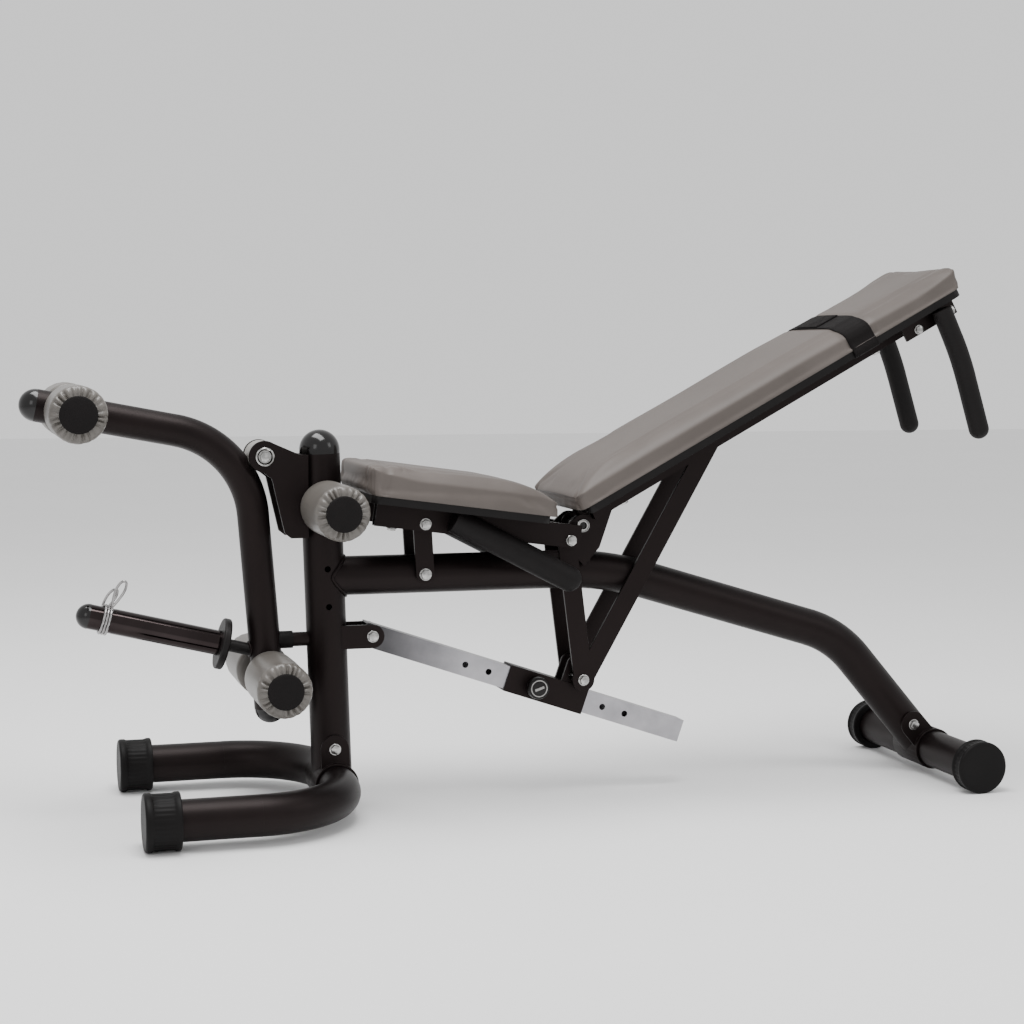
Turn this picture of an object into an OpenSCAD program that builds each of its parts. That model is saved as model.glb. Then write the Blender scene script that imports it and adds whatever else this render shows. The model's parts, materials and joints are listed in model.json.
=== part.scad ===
// Adjustable weight bench with a leg developer.
// X runs from the leg developer (-X) to the head end (+X), Y across, Z up, in millimetres.
// The origin is on the floor under the middle of the frame.

/* [Frame] */
// X of the front post's foot
post_x = -316; // [-330:1:-300]
// Outside diameter of the main beam, base and foot tubes
tube_d = 63.5; // [60:0.5:64]
// Outside diameter of the front post
post_d = 65; // [64.5:0.5:68]
// Wall of the frame tubes
tube_wall = 3; // [2:0.5:4]
// Height of the front post without its cap
post_h = 577; // [560:1:590]
// Lean of the front post towards the leg developer
post_lean = 1.9; // [0:0.1:3]
// Height of the level stretch of the main beam
beam_z = 378.5; // [370:0.5:385]
// Half the distance between the two base legs
leg_y = 207; // [195:1:215]
// Length of the base in front of the post
base_len = 324; // [300:1:340]
// Bend radius of the base
base_bend = 150; // [120:1:155]
// X of the rear foot behind the post
foot_dx = 1070; // [1060:1:1075]
// Half length of the rear foot over its caps
foot_half = 211; // [200:1:220]
// Diameter of the rubber foot caps
cap_d = 88; // [80:1:90]

/* [Backrest] */
// Incline of the backrest as drawn
incline = 28.6; // [28.6]
// Length of the back pad
back_len = 756; // [740:1:765]
// Width of both pads
pad_w = 260; // [240:1:270]
// Thickness of the back pad
back_pad_t = 46; // [42:1:50]
// Thickness of the pad boards
board_t = 12; // [9:1:12]

/* [Seat] */
// Fall of the seat towards the backrest as drawn
seat_fall = 7.6; // [7.6]
// Length of the seat pad
seat_len = 303; // [290:1:308]
// Thickness of the seat pad
seat_pad_t = 50; // [40:1:55]

/* [Adjuster] */
// Fall of the adjuster bar as drawn
bar_fall = 19; // [19]
// Outside width of the square adjuster bar
bar_w = 38.1; // [37:0.1:38.1]
// Distance between two adjuster holes
hole_pitch = 42; // [42]
// Number of adjuster holes
hole_count = 8; // [7:1:8]
// Diameter of the adjuster pin
pin_d = 9.5; // [8:0.5:10]

/* [Leg developer] */
// Outside diameter of the arm tube
arm_d = 50.8; // [48:0.1:50.8]
// Outside diameter of the foam rollers
roller_d = 86; // [80:1:88]
// Outer end of the foam rollers, from the middle of the bench
roller_out = 178; // [170:1:182]
// Diameter of the weight peg
peg_d = 40; // [38:1:41]
// Diameter of the peg's flange
flange_d = 82; // [75:1:90]

/* [Hidden] */
$fn = 64;
running = 0.1;         // diametral clearance of a turning fit
cap_r = cap_d / 2;
foot = [post_x, cap_r];                      // middle of the base tube under the post
rear = [post_x + foot_dx, cap_r];            // middle of the rear foot tube
pivot = [post_x + 415, 454];                 // backrest pivot
seat_pin = [post_x + 387, 432];              // seat hinge on the truss
truss_tip = [post_x + 417.5, 196];           // foot of the truss, over the adjuster
bar_pin = [post_x + 63, 281];                // adjuster bar pivot
link_pin = [post_x + 147, 381];              // lower pin of the seat link
arm_pin = [post_x - 111, 574];               // pivot of the leg developer
hold_down = [post_x - 14, 492.6];            // axle of the hold-down rollers
upper_axle = [post_x - 406, 646];            // axle of the upper arm rollers
lower_axle = [post_x - 105, 224];            // axle of the lower arm rollers
stop_z = 278;                                // height of the arm's stop
link_top_b = -247.3;                         // upper link pin along the seat, from the seat hinge
arm_knee = [post_x - 134.6, 594.4];          // corner of the arm tube before its bend
arm_head = [post_x - 459, 656];              // upper end of the arm tube
arm_toe = [post_x - 100.2, 170];             // lower end of the arm tube
peg_root = [post_x - 108, 258.4];            // start of the weight peg on the arm
peg_rise = 13.9;                             // rise of the weight peg
peg_start = 76;                              // start of the peg tube along its axis
peg_end = 284;                               // end of the peg tube along its axis
collar_at = 250;                             // where the spring collar sits on the peg
collar_seat = 246;                           // start of the peg's last, slightly thinner stretch
pin_at = 291.5;                              // adjuster pin along the bar
first_hole = pin_at - 3 * hole_pitch;
sleeve_0 = 241;                              // sleeve ends along the bar
sleeve_1 = 384;
sleeve_w = bar_w + 0.6;                      // inside width of the sleeve
sleeve_wall = 3;
lug_s = 362.9;                               // truss tip along the bar
lug_n = 35.1;                                // truss tip above the bar
lug_rise = 19;                               // free travel of the bolt up the lug's slot
lug_play = 13;                               // free travel of the bolt along the lug's slot
plate = 6;                                   // thickness of the brackets and flat bars
truss_y = 34.5;                              // inner face of the truss bars
flat_w = 32;                                 // width of the truss bars
rail_y = 30;                                 // inner face of the back rails
rail_w = 25;
rail_n = 1.4;                                // underside of the back rails over the pivot
rail_h = 28;
board_n = rail_n + rail_h;
back_n = board_n + board_t;                  // underside of the back pad over the pivot
seat_rail_y = 42.5;                          // inner face of the seat rails
seat_rail_w = 20;
seat_n = 38;                                 // underside of the seat pad over its hinge
seat_b = -358;                               // front end of the seat pad along the seat
grip_y = 85;                                 // middle of the seat's side grips
handle_y = 123;                              // middle of the rear handles
axle_d = 25;
roller_in = 36;                              // inner end of the foam rollers
bolt_d = 12;
pivot_d = 19;
arm_bolt_d = 16;
strap_a = 550;                               // middle of the head strap along the back pad
strap_w = 48;
strap_t = 2;
arm_clear = 0.6;                             // side play of the arm in its bracket
bracket_y = arm_d / 2 + 1 + arm_clear;       // inner face of the arm bracket

// ---- geometry helpers ----

function heading(a, b) = atan2(b[1] - a[1], b[0] - a[0]);
function toward(a, b, s) = a + s * (b - a) / norm(b - a);
function wrap(t) = (t + 540) % 360 - 180;
function bend_turn(pts, i) = wrap(heading(pts[i], pts[i + 1]) - heading(pts[i - 1], pts[i]));
function setback(pts, radii, i) =
    i == 0 || i == len(pts) - 1 ? 0 : radii[i] * tan(abs(bend_turn(pts, i)) / 2);
// Length that a straight leaves to the bend at a corner; the two lap by 1 mm
function lapped(pts, radii, i) = max(0, setback(pts, radii, i) - 1);
// X of the leaning post's middle at a height
function post_at(z) = post_x - (z - foot[1]) * tan(post_lean);

// Round bar between two points of the XZ plane
module bar_xz(a, b, d) {
    translate([a[0], 0, a[1]]) rotate([0, 90 - heading(a, b), 0]) cylinder(d = d, h = norm(b - a));
}

// Round bar bent through corner points of the XZ plane, with a bend radius at each corner
module bent_bar(pts, radii, d) {
    for (i = [0 : len(pts) - 2])
        bar_xz(toward(pts[i], pts[i + 1], lapped(pts, radii, i)),
               toward(pts[i + 1], pts[i], lapped(pts, radii, i + 1)), d);
    for (i = [1 : 1 : len(pts) - 2])
        bend(toward(pts[i], pts[i - 1], setback(pts, radii, i)),
             heading(pts[i - 1], pts[i]), bend_turn(pts, i), radii[i], d + 0.3);
}

// One bend that starts at a point with a heading and turns by an angle
module bend(start, h, t, r, d) {
    side = t > 0 ? 1 : -1;
    c = start + side * r * [-sin(h), cos(h)];
    translate([c[0], 0, c[1]]) rotate([90, 0, 0]) rotate([0, 0, t > 0 ? h - 90 : h + 90 + t])
        rotate_extrude(angle = abs(t)) translate([r, 0]) circle(d = d);
}

module bent_tube(pts, radii, d, wall) {
    difference() {
        bent_bar(pts, radii, d);
        bent_bar(pts, radii, d - 2 * wall);
    }
}

// Ball in the end of a round bar, which closes it with a dome
module dome(p, d) {
    translate([p[0], 0, p[1]]) sphere(d = d - 0.1);
}

// Round bar across the bench
module cross_bar(p, d, y0, y1) {
    translate([p[0], y0, p[1]]) rotate([-90, 0, 0]) cylinder(d = d, h = y1 - y0);
}

// Flat shape of the XZ plane with a thickness across the bench
module slab(y0, y1) {
    translate([0, y1, 0]) rotate([90, 0, 0]) linear_extrude(y1 - y0) children();
}

// Strip with round ends between two points
module strip(a, b, w) {
    translate(a) rotate(heading(a, b)) translate([0, -w / 2]) square([norm(b - a), w]);
    translate(a) circle(d = w);
    translate(b) circle(d = w);
}

module both_sides() {
    children();
    mirror([0, 1, 0]) children();
}

// Bolt across the bench with a hex head and a hex nut
module through_bolt(p, d, half, hex, head_h) {
    cross_bar(p, d, -half, half);
    for (s = [-1, 1]) translate([p[0], s * (half + head_h / 2), p[1]]) rotate([90, 0, 0])
        cylinder(d = hex, h = head_h, center = true, $fn = 6);
}

// Screw across the bench on one side, with its hex head on the inner side
module inner_bolt(p, y0, y1) {
    cross_bar(p, 7.9, y0, y1);
    translate([p[0], y0, p[1]]) rotate([90, 0, 0]) cylinder(d = 14, h = 4, $fn = 6);
}

// Rectangular tube along X
module box_tube(x0, x1, y0, y1, z0, z1, wall) {
    difference() {
        translate([x0, y0, z0]) cube([x1 - x0, y1 - y0, z1 - z0]);
        translate([x0 - 1, y0 + wall, z0 + wall])
            cube([x1 - x0 + 2, y1 - y0 - 2 * wall, z1 - z0 - 2 * wall]);
    }
}

module block(x0, x1, y0, y1, z0, z1) {
    translate([x0, y0, z0]) cube([x1 - x0, y1 - y0, z1 - z0]);
}

// Local frames: X along the backrest, the seat, the adjuster bar and the weight peg
module on_back() { translate([pivot[0], 0, pivot[1]]) rotate([0, -incline, 0]) children(); }
module on_seat() { translate([seat_pin[0], 0, seat_pin[1]]) rotate([0, seat_fall, 0]) children(); }
module on_bar() { translate([bar_pin[0], 0, bar_pin[1]]) rotate([0, bar_fall, 0]) children(); }
module on_peg() {
    translate([peg_root[0], 0, peg_root[1]]) mirror([1, 0, 0]) rotate([0, -peg_rise, 0]) children();
}
module post_frame() { translate([foot[0], 0, foot[1]]) rotate([0, -post_lean, 0]) children(); }

// ---- frame ----

base_pts = [[post_x - base_len + 6, leg_y], [post_x, leg_y], [post_x, -leg_y],
            [post_x - base_len + 6, -leg_y]];
base_radii = [0, base_bend, base_bend, 0];

module base_tube() {
    color("#2b2422") translate([0, 0, cap_r]) rotate([-90, 0, 0])
        bent_tube(base_pts, base_radii, tube_d, tube_wall);
}

// Ribbed rubber cup over a tube end, closed at x = 0 and open towards +X
module rubber_cup(d, depth) {
    ribs = 3;
    rotate([0, 90, 0]) difference() {
        union() {
            translate([0, 0, 3]) cylinder(d = d - 1.5, h = depth - 3);
            cylinder(d1 = d - 8, d2 = d - 1.5, h = 3);
            for (i = [1 : ribs]) translate([0, 0, i * depth / (ribs + 1) - 3]) cylinder(d = d, h = 6);
        }
        translate([0, 0, 6]) cylinder(d = tube_d, h = depth);
    }
}

module base_cap(side) {
    color("#1b1a19") translate([post_x - base_len, side * leg_y, cap_r]) rubber_cup(cap_d, 54);
}

// Clamp round a cross tube with two cheeks up the member that stands on it
module saddle(p, rise, h, half) {
    wrap_d = tube_d + 8;
    difference() {
        union() {
            cross_bar(p, wrap_d, -half, half);
            both_sides() slab(post_d / 2 + 0.2, post_d / 2 + 4.2)
                strip(p, p + rise * [cos(h), sin(h)], 46);
        }
        cross_bar(p, tube_d, -half - 1, half + 1);
        cross_bar(p + rise * [cos(h), sin(h)], bolt_d + running, -60, 60);
    }
}

module base_saddle() { color("#2b2422") saddle(foot, 58, 90 + post_lean, 44); }
module base_bolt() {
    color("silver") through_bolt(foot + 58 * [cos(90 + post_lean), sin(90 + post_lean)], bolt_d,
                                 post_d / 2 + 4.2, 20, 7);
}

module front_post() {
    lock_z = [332, 393];
    color("#2b2422") difference() {
        post_frame() difference() {
            cylinder(d = post_d, h = post_h - foot[1]);
            translate([0, 0, -1]) cylinder(d = post_d - 2 * tube_wall, h = post_h);
        }
        cross_bar(foot, tube_d + 8, -60, 60);
        cross_bar(foot + 58 * [cos(90 + post_lean), sin(90 + post_lean)], bolt_d + running, -60, 60);
        cross_bar(hold_down, axle_d, -60, 60);
        for (z = lock_z) cross_bar([post_at(z), z], 10, -60, 60);
    }
}

module post_cap() {
    color("#141313") post_frame() translate([0, 0, post_h - foot[1]]) {
        cylinder(d = post_d, h = 6);
        translate([0, 0, 6]) intersection() {
            sphere(d = post_d);
            cylinder(d = post_d + 2, h = post_d);
        }
        translate([0, 0, -24]) cylinder(d = post_d - 2 * tube_wall, h = 25);
    }
}

beam_pts = [[post_x, beam_z], [post_x + 463.8, beam_z], [post_x + 894.7, 247.6], rear];
beam_radii = [0, 500, 190, 0];

module main_beam() {
    color("#2b2422") difference() {
        bent_tube(beam_pts, beam_radii, tube_d, tube_wall);
        post_frame() translate([0, 0, 200]) cylinder(d = post_d, h = 300);
        cross_bar(rear, tube_d + 8, -60, 60);
        cross_bar(link_pin, bolt_d + running, -60, 60);
        cross_bar(rear_bolt_at, bolt_d + running, -60, 60);
    }
}

rear_heading = heading(beam_pts[3], beam_pts[2]);
rear_bolt_at = rear + 58 * [cos(rear_heading), sin(rear_heading)];

module rear_saddle() { color("#2b2422") saddle(rear, 58, rear_heading, 44); }
module rear_bolt() { color("silver") through_bolt(rear_bolt_at, bolt_d, post_d / 2 + 4.2, 20, 7); }

module rear_foot() {
    color("#2b2422") difference() {
        cross_bar(rear, tube_d, -foot_half + 6, foot_half - 6);
        cross_bar(rear, tube_d - 2 * tube_wall, -foot_half, foot_half);
    }
}

module rear_cap(side) {
    color("#1b1a19") translate([rear[0], side * foot_half, rear[1]])
        rotate([0, 0, side > 0 ? -90 : 90]) rubber_cup(cap_d, 30);
}

module pivot_ears() {
    ear_r = 17;
    color("#2b2422") difference() {
        both_sides() slab(22, 28) {
            translate(pivot) circle(r = ear_r);
            translate([pivot[0] - ear_r, beam_z]) square([2 * ear_r, pivot[1] - beam_z]);
        }
        bent_bar(beam_pts, beam_radii, tube_d);
        cross_bar(pivot, pivot_d, -60, 60);
    }
}

module pivot_shaft() {
    color("silver") difference() {
        cross_bar(pivot, pivot_d, -42, 42);
        cross_bar(pivot, pivot_d - 7, -43, 43);
    }
}

module link_bolt() { color("silver") through_bolt(link_pin, bolt_d, truss_y + plate + 0.3, 19, 7); }

module adjuster_clevis() {
    color("#2b2422") difference() {
        both_sides() slab(20, 20 + plate)
            strip([post_at(bar_pin[1]) + 20, bar_pin[1]], bar_pin, 38);
        post_frame() cylinder(d = post_d, h = 400);
        cross_bar(bar_pin, bolt_d + running, -60, 60);
    }
}

module adjuster_bolt() { color("silver") through_bolt(bar_pin, bolt_d, 20 + plate, 19, 6); }

// Channel on the post that carries the leg developer
module arm_bracket() {
    web_x = post_at(510) - post_d / 2 - 6;
    foot_z = 444;
    cheek = [[web_x, foot_z], [web_x - 16, foot_z], [web_x - 26, foot_z + 8],
             [arm_pin[0] + 11, arm_pin[1] - 35], [arm_pin[0] - 24, arm_pin[1] - 8],
             [arm_pin[0] + 6, arm_pin[1] + 24.3], [web_x, arm_pin[1] + 2]];
    color("#2b2422") difference() {
        union() {
            both_sides() slab(bracket_y, bracket_y + plate) {
                polygon(cheek);
                translate(arm_pin) circle(r = 25);
            }
            block(web_x - 3, web_x + 12, -bracket_y - plate, bracket_y + plate, foot_z, arm_pin[1] + 2);
        }
        post_frame() cylinder(d = post_d, h = 700);
        cross_bar(arm_pin, arm_bolt_d + running, -60, 60);
    }
}

module arm_bolt() { color("silver") through_bolt(arm_pin, arm_bolt_d, bracket_y + plate, 24, 8); }

module arm_stop() {
    color("#2b2422") difference() {
        bar_xz([post_x - 64, stop_z], [post_x - 20, stop_z], 23);
        post_frame() cylinder(d = post_d, h = 400);
    }
}

module stop_bumper() {
    color("#1b1a19") difference() {
        bar_xz([post_x - 100, stop_z], [post_x - 64, stop_z], 28);
        bar_xz([post_x - 70, stop_z], [post_x - 60, stop_z], 23);
        bent_bar(arm_pts, arm_radii, arm_d + 0.6);
    }
}

module hold_down_axle() {
    color("silver") cross_bar(hold_down, axle_d, -roller_out + 4, roller_out - 4);
}

// Foam sleeve with rounded ends on an axle, on one side of the bench
module roller(p, side) {
    edge = 12;
    len = roller_out - roller_in;
    color("#8d877f") translate([p[0], side * roller_in, p[1]]) rotate([-90 * side, 0, 0])
        difference() {
            rotate_extrude() {
                square([roller_d / 2 - edge, len]);
                translate([0, edge]) square([roller_d / 2, len - 2 * edge]);
                for (z = [edge, len - edge]) translate([roller_d / 2 - edge, z]) circle(r = edge);
            }
            translate([0, 0, -1]) cylinder(d = axle_d + running, h = len + 2);
        }
}

// Dark end discs, pressed into the foam of the rollers
module roller_end(p, side) {
    color("#1b1a19") translate([p[0], side * roller_out, p[1]]) rotate([-90 * side, 0, 0]) {
        cylinder(d = 56, h = 3);
        translate([0, 0, 3]) cylinder(d1 = 56, d2 = 48, h = 3);
    }
}

// ---- leg developer ----

arm_pts = [arm_head, arm_knee, arm_toe];
arm_radii = [0, 150, 0];

module arm_tube() {
    color("#2b2422") difference() {
        bent_tube(arm_pts, arm_radii, arm_d, 2.5);
        cross_bar(upper_axle, axle_d, -60, 60);
        cross_bar(lower_axle, axle_d, -60, 60);
    }
}

// Domed plugs in both ends of the arm tube
module arm_caps() {
    ends = [[arm_head, heading(arm_knee, arm_head)], [arm_toe, heading(arm_knee, arm_toe)]];
    color("#141313") for (e = ends)
        translate([e[0][0], 0, e[0][1]]) rotate([0, 90 - e[1], 0]) {
            intersection() {
                sphere(d = arm_d);
                cylinder(d = arm_d + 2, h = arm_d);
            }
            translate([0, 0, -18]) cylinder(d = arm_d - 5, h = 19);
        }
}

module arm_hub() {
    color("#77726d") difference() {
        cross_bar(arm_pin, 48, -bracket_y + 0.6, bracket_y - 0.6);
        bent_bar(arm_pts, arm_radii, arm_d);
        cross_bar(arm_pin, arm_bolt_d + running, -60, 60);
    }
}

module arm_axle(p) { color("silver") cross_bar(p, axle_d, -roller_out + 4, roller_out - 4); }

module weight_peg() {
    wall = 2.5;
    color("#3a3735") on_peg() rotate([0, 90, 0]) difference() {
        union() {
            translate([0, 0, peg_start]) cylinder(d = peg_d, h = collar_seat - peg_start);
            translate([0, 0, peg_start]) cylinder(d = peg_d - 0.6, h = peg_end - peg_start);
        }
        translate([0, 0, peg_start + 4]) cylinder(d = peg_d - 2 * wall, h = peg_end);
    }
}

module peg_cap() {
    color("#141313") on_peg() rotate([0, 90, 0]) translate([0, 0, peg_end]) {
        intersection() {
            sphere(d = peg_d);
            cylinder(d = peg_d + 2, h = peg_d);
        }
        translate([0, 0, -14]) cylinder(d = peg_d - 5, h = 15);
    }
}

// Flange that the plates rest on, with the stem that joins it to the arm
module peg_flange() {
    rim = 12;
    color("#1f1c1b") difference() {
        on_peg() rotate([0, 90, 0]) {
            cylinder(d = 20, h = peg_start - rim);
            translate([0, 0, peg_start - rim]) rotate_extrude() {
                square([flange_d / 2 - 3, rim]);
                translate([0, 3]) square([flange_d / 2, rim - 6]);
                for (z = [3, rim - 3]) translate([flange_d / 2 - 3, z]) circle(r = 3);
            }
        }
        bent_bar(arm_pts, arm_radii, arm_d);
    }
}

// Spring clip on the weight peg: three turns of wire and two grips
module spring_collar() {
    wire = 4.5;
    turns = 3;
    bore = peg_d + running;
    color("silver") on_peg() translate([collar_at, 0, 0]) {
        rotate([0, 90, 0]) difference() {
            cylinder(d = bore + 2 * wire, h = wire * turns);
            translate([0, 0, -1]) cylinder(d = bore, h = wire * turns + 2);
        }
        for (s = [-1, 1]) translate([wire * turns / 2 + s * 4.4, s * 6, peg_d / 2 + 1])
            rotate([0, s * 14, 0]) cylinder(d = wire, h = 38);
    }
}

// ---- truss and backrest ----

// Point of the local backrest frame in the XZ plane
function back_point(a, n) = pivot + a * [cos(incline), sin(incline)] + n * [-sin(incline), cos(incline)];

module truss_shape() {
    intersection() {
        union() {
            strip(seat_pin, truss_tip, flat_w);
            strip(truss_tip, back_point(276, 20), flat_w);
            translate(truss_tip) circle(r = 19);
            polygon([back_point(-40, -22), back_point(-38, 11), back_point(-8, 18), back_point(20, 12),
                     back_point(20, 5), back_point(64, 5), back_point(8, -46), back_point(-30, -60)]);
            translate(pivot) circle(r = 19);
        }
        union() {
            polygon([back_point(-120, rail_n), back_point(400, rail_n), back_point(400, -400),
                     back_point(-400, -400)]);
            polygon([back_point(-120, 60), back_point(20, 60), back_point(20, -60),
                     back_point(-120, -60)]);
        }
    }
}

module truss_bars() {
    color("#2b2422") difference() {
        both_sides() slab(truss_y, truss_y + plate) truss_shape();
        cross_bar(pivot, pivot_d + running, -60, 60);
        cross_bar(seat_pin, bolt_d, -60, 60);
        cross_bar(truss_tip, bolt_d, -60, 60);
    }
}

// Bolt at the foot of the truss and a hinge stud to the seat on each side
module truss_bolts() {
    stud_in = 32.5;
    stud_out = seat_rail_y + seat_rail_w + 1;
    color("silver") {
        through_bolt(truss_tip, bolt_d, truss_y + plate, 20, 7);
        both_sides() {
            cross_bar(seat_pin, bolt_d, stud_in, stud_out);
            cross_bar(seat_pin, 18, stud_in, truss_y);
            translate([seat_pin[0], stud_out + 3.5, seat_pin[1]]) rotate([90, 0, 0])
                cylinder(d = 20, h = 7, center = true, $fn = 6);
        }
    }
}

module back_frame() {
    color("#2b2422") on_back() difference() {
        union() {
            both_sides() box_tube(20, 655, rail_y, rail_y + rail_w, rail_n, board_n, 2);
            for (a = [45, 330, 610]) block(a, a + 32, -rail_y, rail_y, board_n - plate, board_n);
        }
        for (a = back_bolt_a) translate([a, 0, 0]) both_sides()
            translate([0, rail_y + rail_w / 2, -20]) cylinder(d = 8, h = 80);
    }
}

back_bolt_a = [80, 600];
back_a = -3;                                 // lower end of the back pad along the backrest

module back_board() {
    color("#151413") on_back() difference() {
        rounded_slab(back_a + 3, back_a + back_len - 3, pad_w / 2 - 4, board_n, board_t, 14);
        for (a = back_bolt_a) translate([a, 0, 0]) both_sides()
            translate([0, rail_y + rail_w / 2, -20]) cylinder(d = 8, h = 80);
    }
}

// Plate with rounded corners in plan
module rounded_slab(x0, x1, half_y, z0, t, r) {
    translate([0, 0, z0]) linear_extrude(t) {
        translate([x0 + r, -half_y]) square([x1 - x0 - 2 * r, 2 * half_y]);
        translate([x0, -half_y + r]) square([x1 - x0, 2 * half_y - 2 * r]);
        for (x = [x0 + r, x1 - r], y = [-half_y + r, half_y - r]) translate([x, y]) circle(r = r);
    }
}

// Upholstered pad: a flat base under a crowned top; the top falls towards the end at x = 0
module pad(len, z0, t, low) {
    edge = t * 0.5;
    half = pad_w / 2;
    fall = 75;
    hull() {
        rounded_slab(0, len, half, z0, t * low, 16);
        rounded_slab(fall * 0.5, len, half, z0, t * 0.55, 16);
        rounded_slab(edge * 0.35 + fall * 0.5, len - edge * 0.35, half - edge * 0.4,
                     z0 + t * (low + (1 - low) * 0.6) - 1, 1, 20);
        rounded_slab(edge * 0.35 + fall * 0.8, len - edge * 0.35, half - edge * 0.4,
                     z0 + t * 0.8, 1, 20);
        rounded_slab(edge + fall, len - edge, half - edge * 1.5, z0 + t - 1, 1, 30);
    }
}

module back_pad_shape() { translate([back_a, 0, 0]) pad(back_len, back_n, back_pad_t, 0.51); }
module back_pad() { color("#8d877f") on_back() back_pad_shape(); }

// Pad bolts from below, and a bolt from each bracket into its rear handle
module back_pad_bolts() {
    color("silver") {
        on_back() for (a = back_bolt_a) translate([a, 0, 0]) both_sides()
            translate([0, rail_y + rail_w / 2, rail_n]) {
                cylinder(d = 7.9, h = rail_h + board_t - 1);
                translate([0, 0, -5]) cylinder(d = 15, h = 5, $fn = 6);
                translate([0, 0, -1]) cylinder(d = 19, h = 1);
            }
        both_sides() inner_bolt(handle_bolt, handle_y - 22.6, handle_y - 1);
    }
}

// Webbing band over the pad, fixed under the board on both sides
module head_strap() {
    top = back_n + back_pad_t;
    half = pad_w / 2;
    under = 44;
    module band(half_y, z0, z1) {
        rounded_slab(strap_a - strap_w / 2, strap_a + strap_w / 2, half_y, z0, z1 - z0, 1);
    }
    color("#171615") on_back() difference() {
        union() {
            band(half + strap_t, board_n - strap_t, back_n + back_pad_t * 0.56);
            hull() {
                band(half + strap_t, back_n + back_pad_t * 0.5, back_n + back_pad_t * 0.56);
                band(half - back_pad_t * 0.2 + strap_t, back_n + back_pad_t * 0.8,
                     back_n + back_pad_t * 0.8 + 3);
                band(half - back_pad_t * 0.75, top, top + strap_t);
            }
        }
        back_pad_shape();
        rounded_slab(back_a + 3, back_a + back_len - 3, pad_w / 2, board_n, board_t, 14);
        block(strap_a - 60, strap_a + 60, -half + under, half - under, board_n - 10, board_n + 1);
    }
}

handle_bend = 500;
handle_pts = [[706, 812], [744, 732], [781.5, 611]];
handle_radii = [0, handle_bend, 0];
handle_bolt = [712, 799.4];

// Side plates under the board's head end that hold the rear handles
module handle_brackets() {
    color("#2b2422") difference() {
        both_sides() {
            on_back() block(632, 738, handle_y - 22.6, handle_y - 17.6, 2, board_n);
            for (a = [636, 716]) on_back()
                block(a, a + 18, rail_y + rail_w, handle_y - 22.6, board_n - plate, board_n);
            slab(handle_y - 17.6, handle_y - 17.1) translate(handle_bolt) circle(r = 11);
        }
        cross_bar(handle_bolt, 8, -200, 200);
    }
}

// Rear handles: bent steel in a moulded grip with a round end
module rear_handles() {
    grip_d = 34;
    color("#171615") difference() {
        both_sides() translate([0, handle_y, 0]) {
            bent_bar(handle_pts, handle_radii, grip_d);
            dome(handle_pts[2], grip_d);
        }
        cross_bar(handle_bolt, 8, -handle_y, handle_y);
    }
}

// ---- seat ----

seat_bolt_b = [-300, -90];

module seat_frame() {
    color("#2b2422") difference() {
        on_seat() {
            difference() {
                both_sides() box_tube(-330, 16, seat_rail_y, seat_rail_y + seat_rail_w, -12,
                                      seat_n - board_t, 2);
                for (b = seat_bolt_b) translate([b, 0, 0]) both_sides()
                    translate([0, seat_rail_y + seat_rail_w / 2, -20]) cylinder(d = 8, h = 80);
            }
            for (b = [-322, -70])
                block(b, b + 30, -seat_rail_y, seat_rail_y, seat_n - board_t - plate, seat_n - board_t);
        }
        cross_bar(seat_pin, bolt_d + running, -70, 70);
        cross_bar(link_top, bolt_d, -70, 70);
        for (p = grip_bolts) cross_bar(p, 8, -70, 70);
    }
}

link_top = seat_pin + link_top_b * [cos(seat_fall), -sin(seat_fall)];

module seat_board() {
    color("#151413") on_seat() difference() {
        rounded_slab(seat_b + 6, seat_b + seat_len - 3, pad_w / 2 - 4, seat_n - board_t, board_t, 14);
        for (b = seat_bolt_b) translate([b, 0, 0]) both_sides()
            translate([0, seat_rail_y + seat_rail_w / 2, -20]) cylinder(d = 8, h = 80);
    }
}

module seat_pad() {
    color("#8d877f") on_seat() translate([seat_b + seat_len, 0, 0]) mirror([1, 0, 0])
        pad(seat_len, seat_n, seat_pad_t, 0.39);
}

// Pad bolts from below and the upper bolt of the seat link
module seat_bolts() {
    color("silver") {
        on_seat() for (b = seat_bolt_b) translate([b, 0, 0]) both_sides()
            translate([0, seat_rail_y + seat_rail_w / 2, -12]) {
                cylinder(d = 7.9, h = seat_n + 12 - 1);
                translate([0, 0, -5]) cylinder(d = 15, h = 5, $fn = 6);
            }
        through_bolt(link_top, bolt_d, seat_rail_y + seat_rail_w, 19, 7);
        both_sides() for (p = grip_bolts) {
            inner_bolt(p, seat_rail_y, grip_y - 1);
            difference() {
                cross_bar(p, 18, seat_rail_y + seat_rail_w, seat_rail_y + seat_rail_w + 2);
                cross_bar(p, 7.9, 0, 100);
            }
        }
    }
}

grip_top = [post_x + 182, 473];
grip_low = [post_x + 376, 372];
grip_bolts = [toward(grip_top, grip_low, 16), toward(grip_top, grip_low, 52)];

// Side grips: straight moulded grips with round ends, bolted to the seat rails
module side_grips() {
    grip_d = 42;
    color("#171615") difference() {
        both_sides() translate([0, grip_y, 0]) {
            bar_xz(grip_top, grip_low, grip_d);
            dome(grip_low, grip_d);
        }
        for (p = grip_bolts) {
            cross_bar(p, 8, -grip_y, grip_y);
            cross_bar(p, 18.5, -seat_rail_y - seat_rail_w - 2, seat_rail_y + seat_rail_w + 2);
        }
        on_seat() block(seat_b, 0, -pad_w, pad_w, seat_n - board_t, seat_n + 20);
    }
}

// Two flat bars between the beam and the seat; their upper holes have play
module seat_link() {
    play = 13;
    color("#2b2422") both_sides() slab(truss_y, truss_y + plate) difference() {
        strip(link_pin, link_top, 30);
        translate(link_pin) circle(d = bolt_d + running);
        translate(link_top) circle(d = bolt_d + play);
    }
}

// ---- adjuster ----

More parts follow.
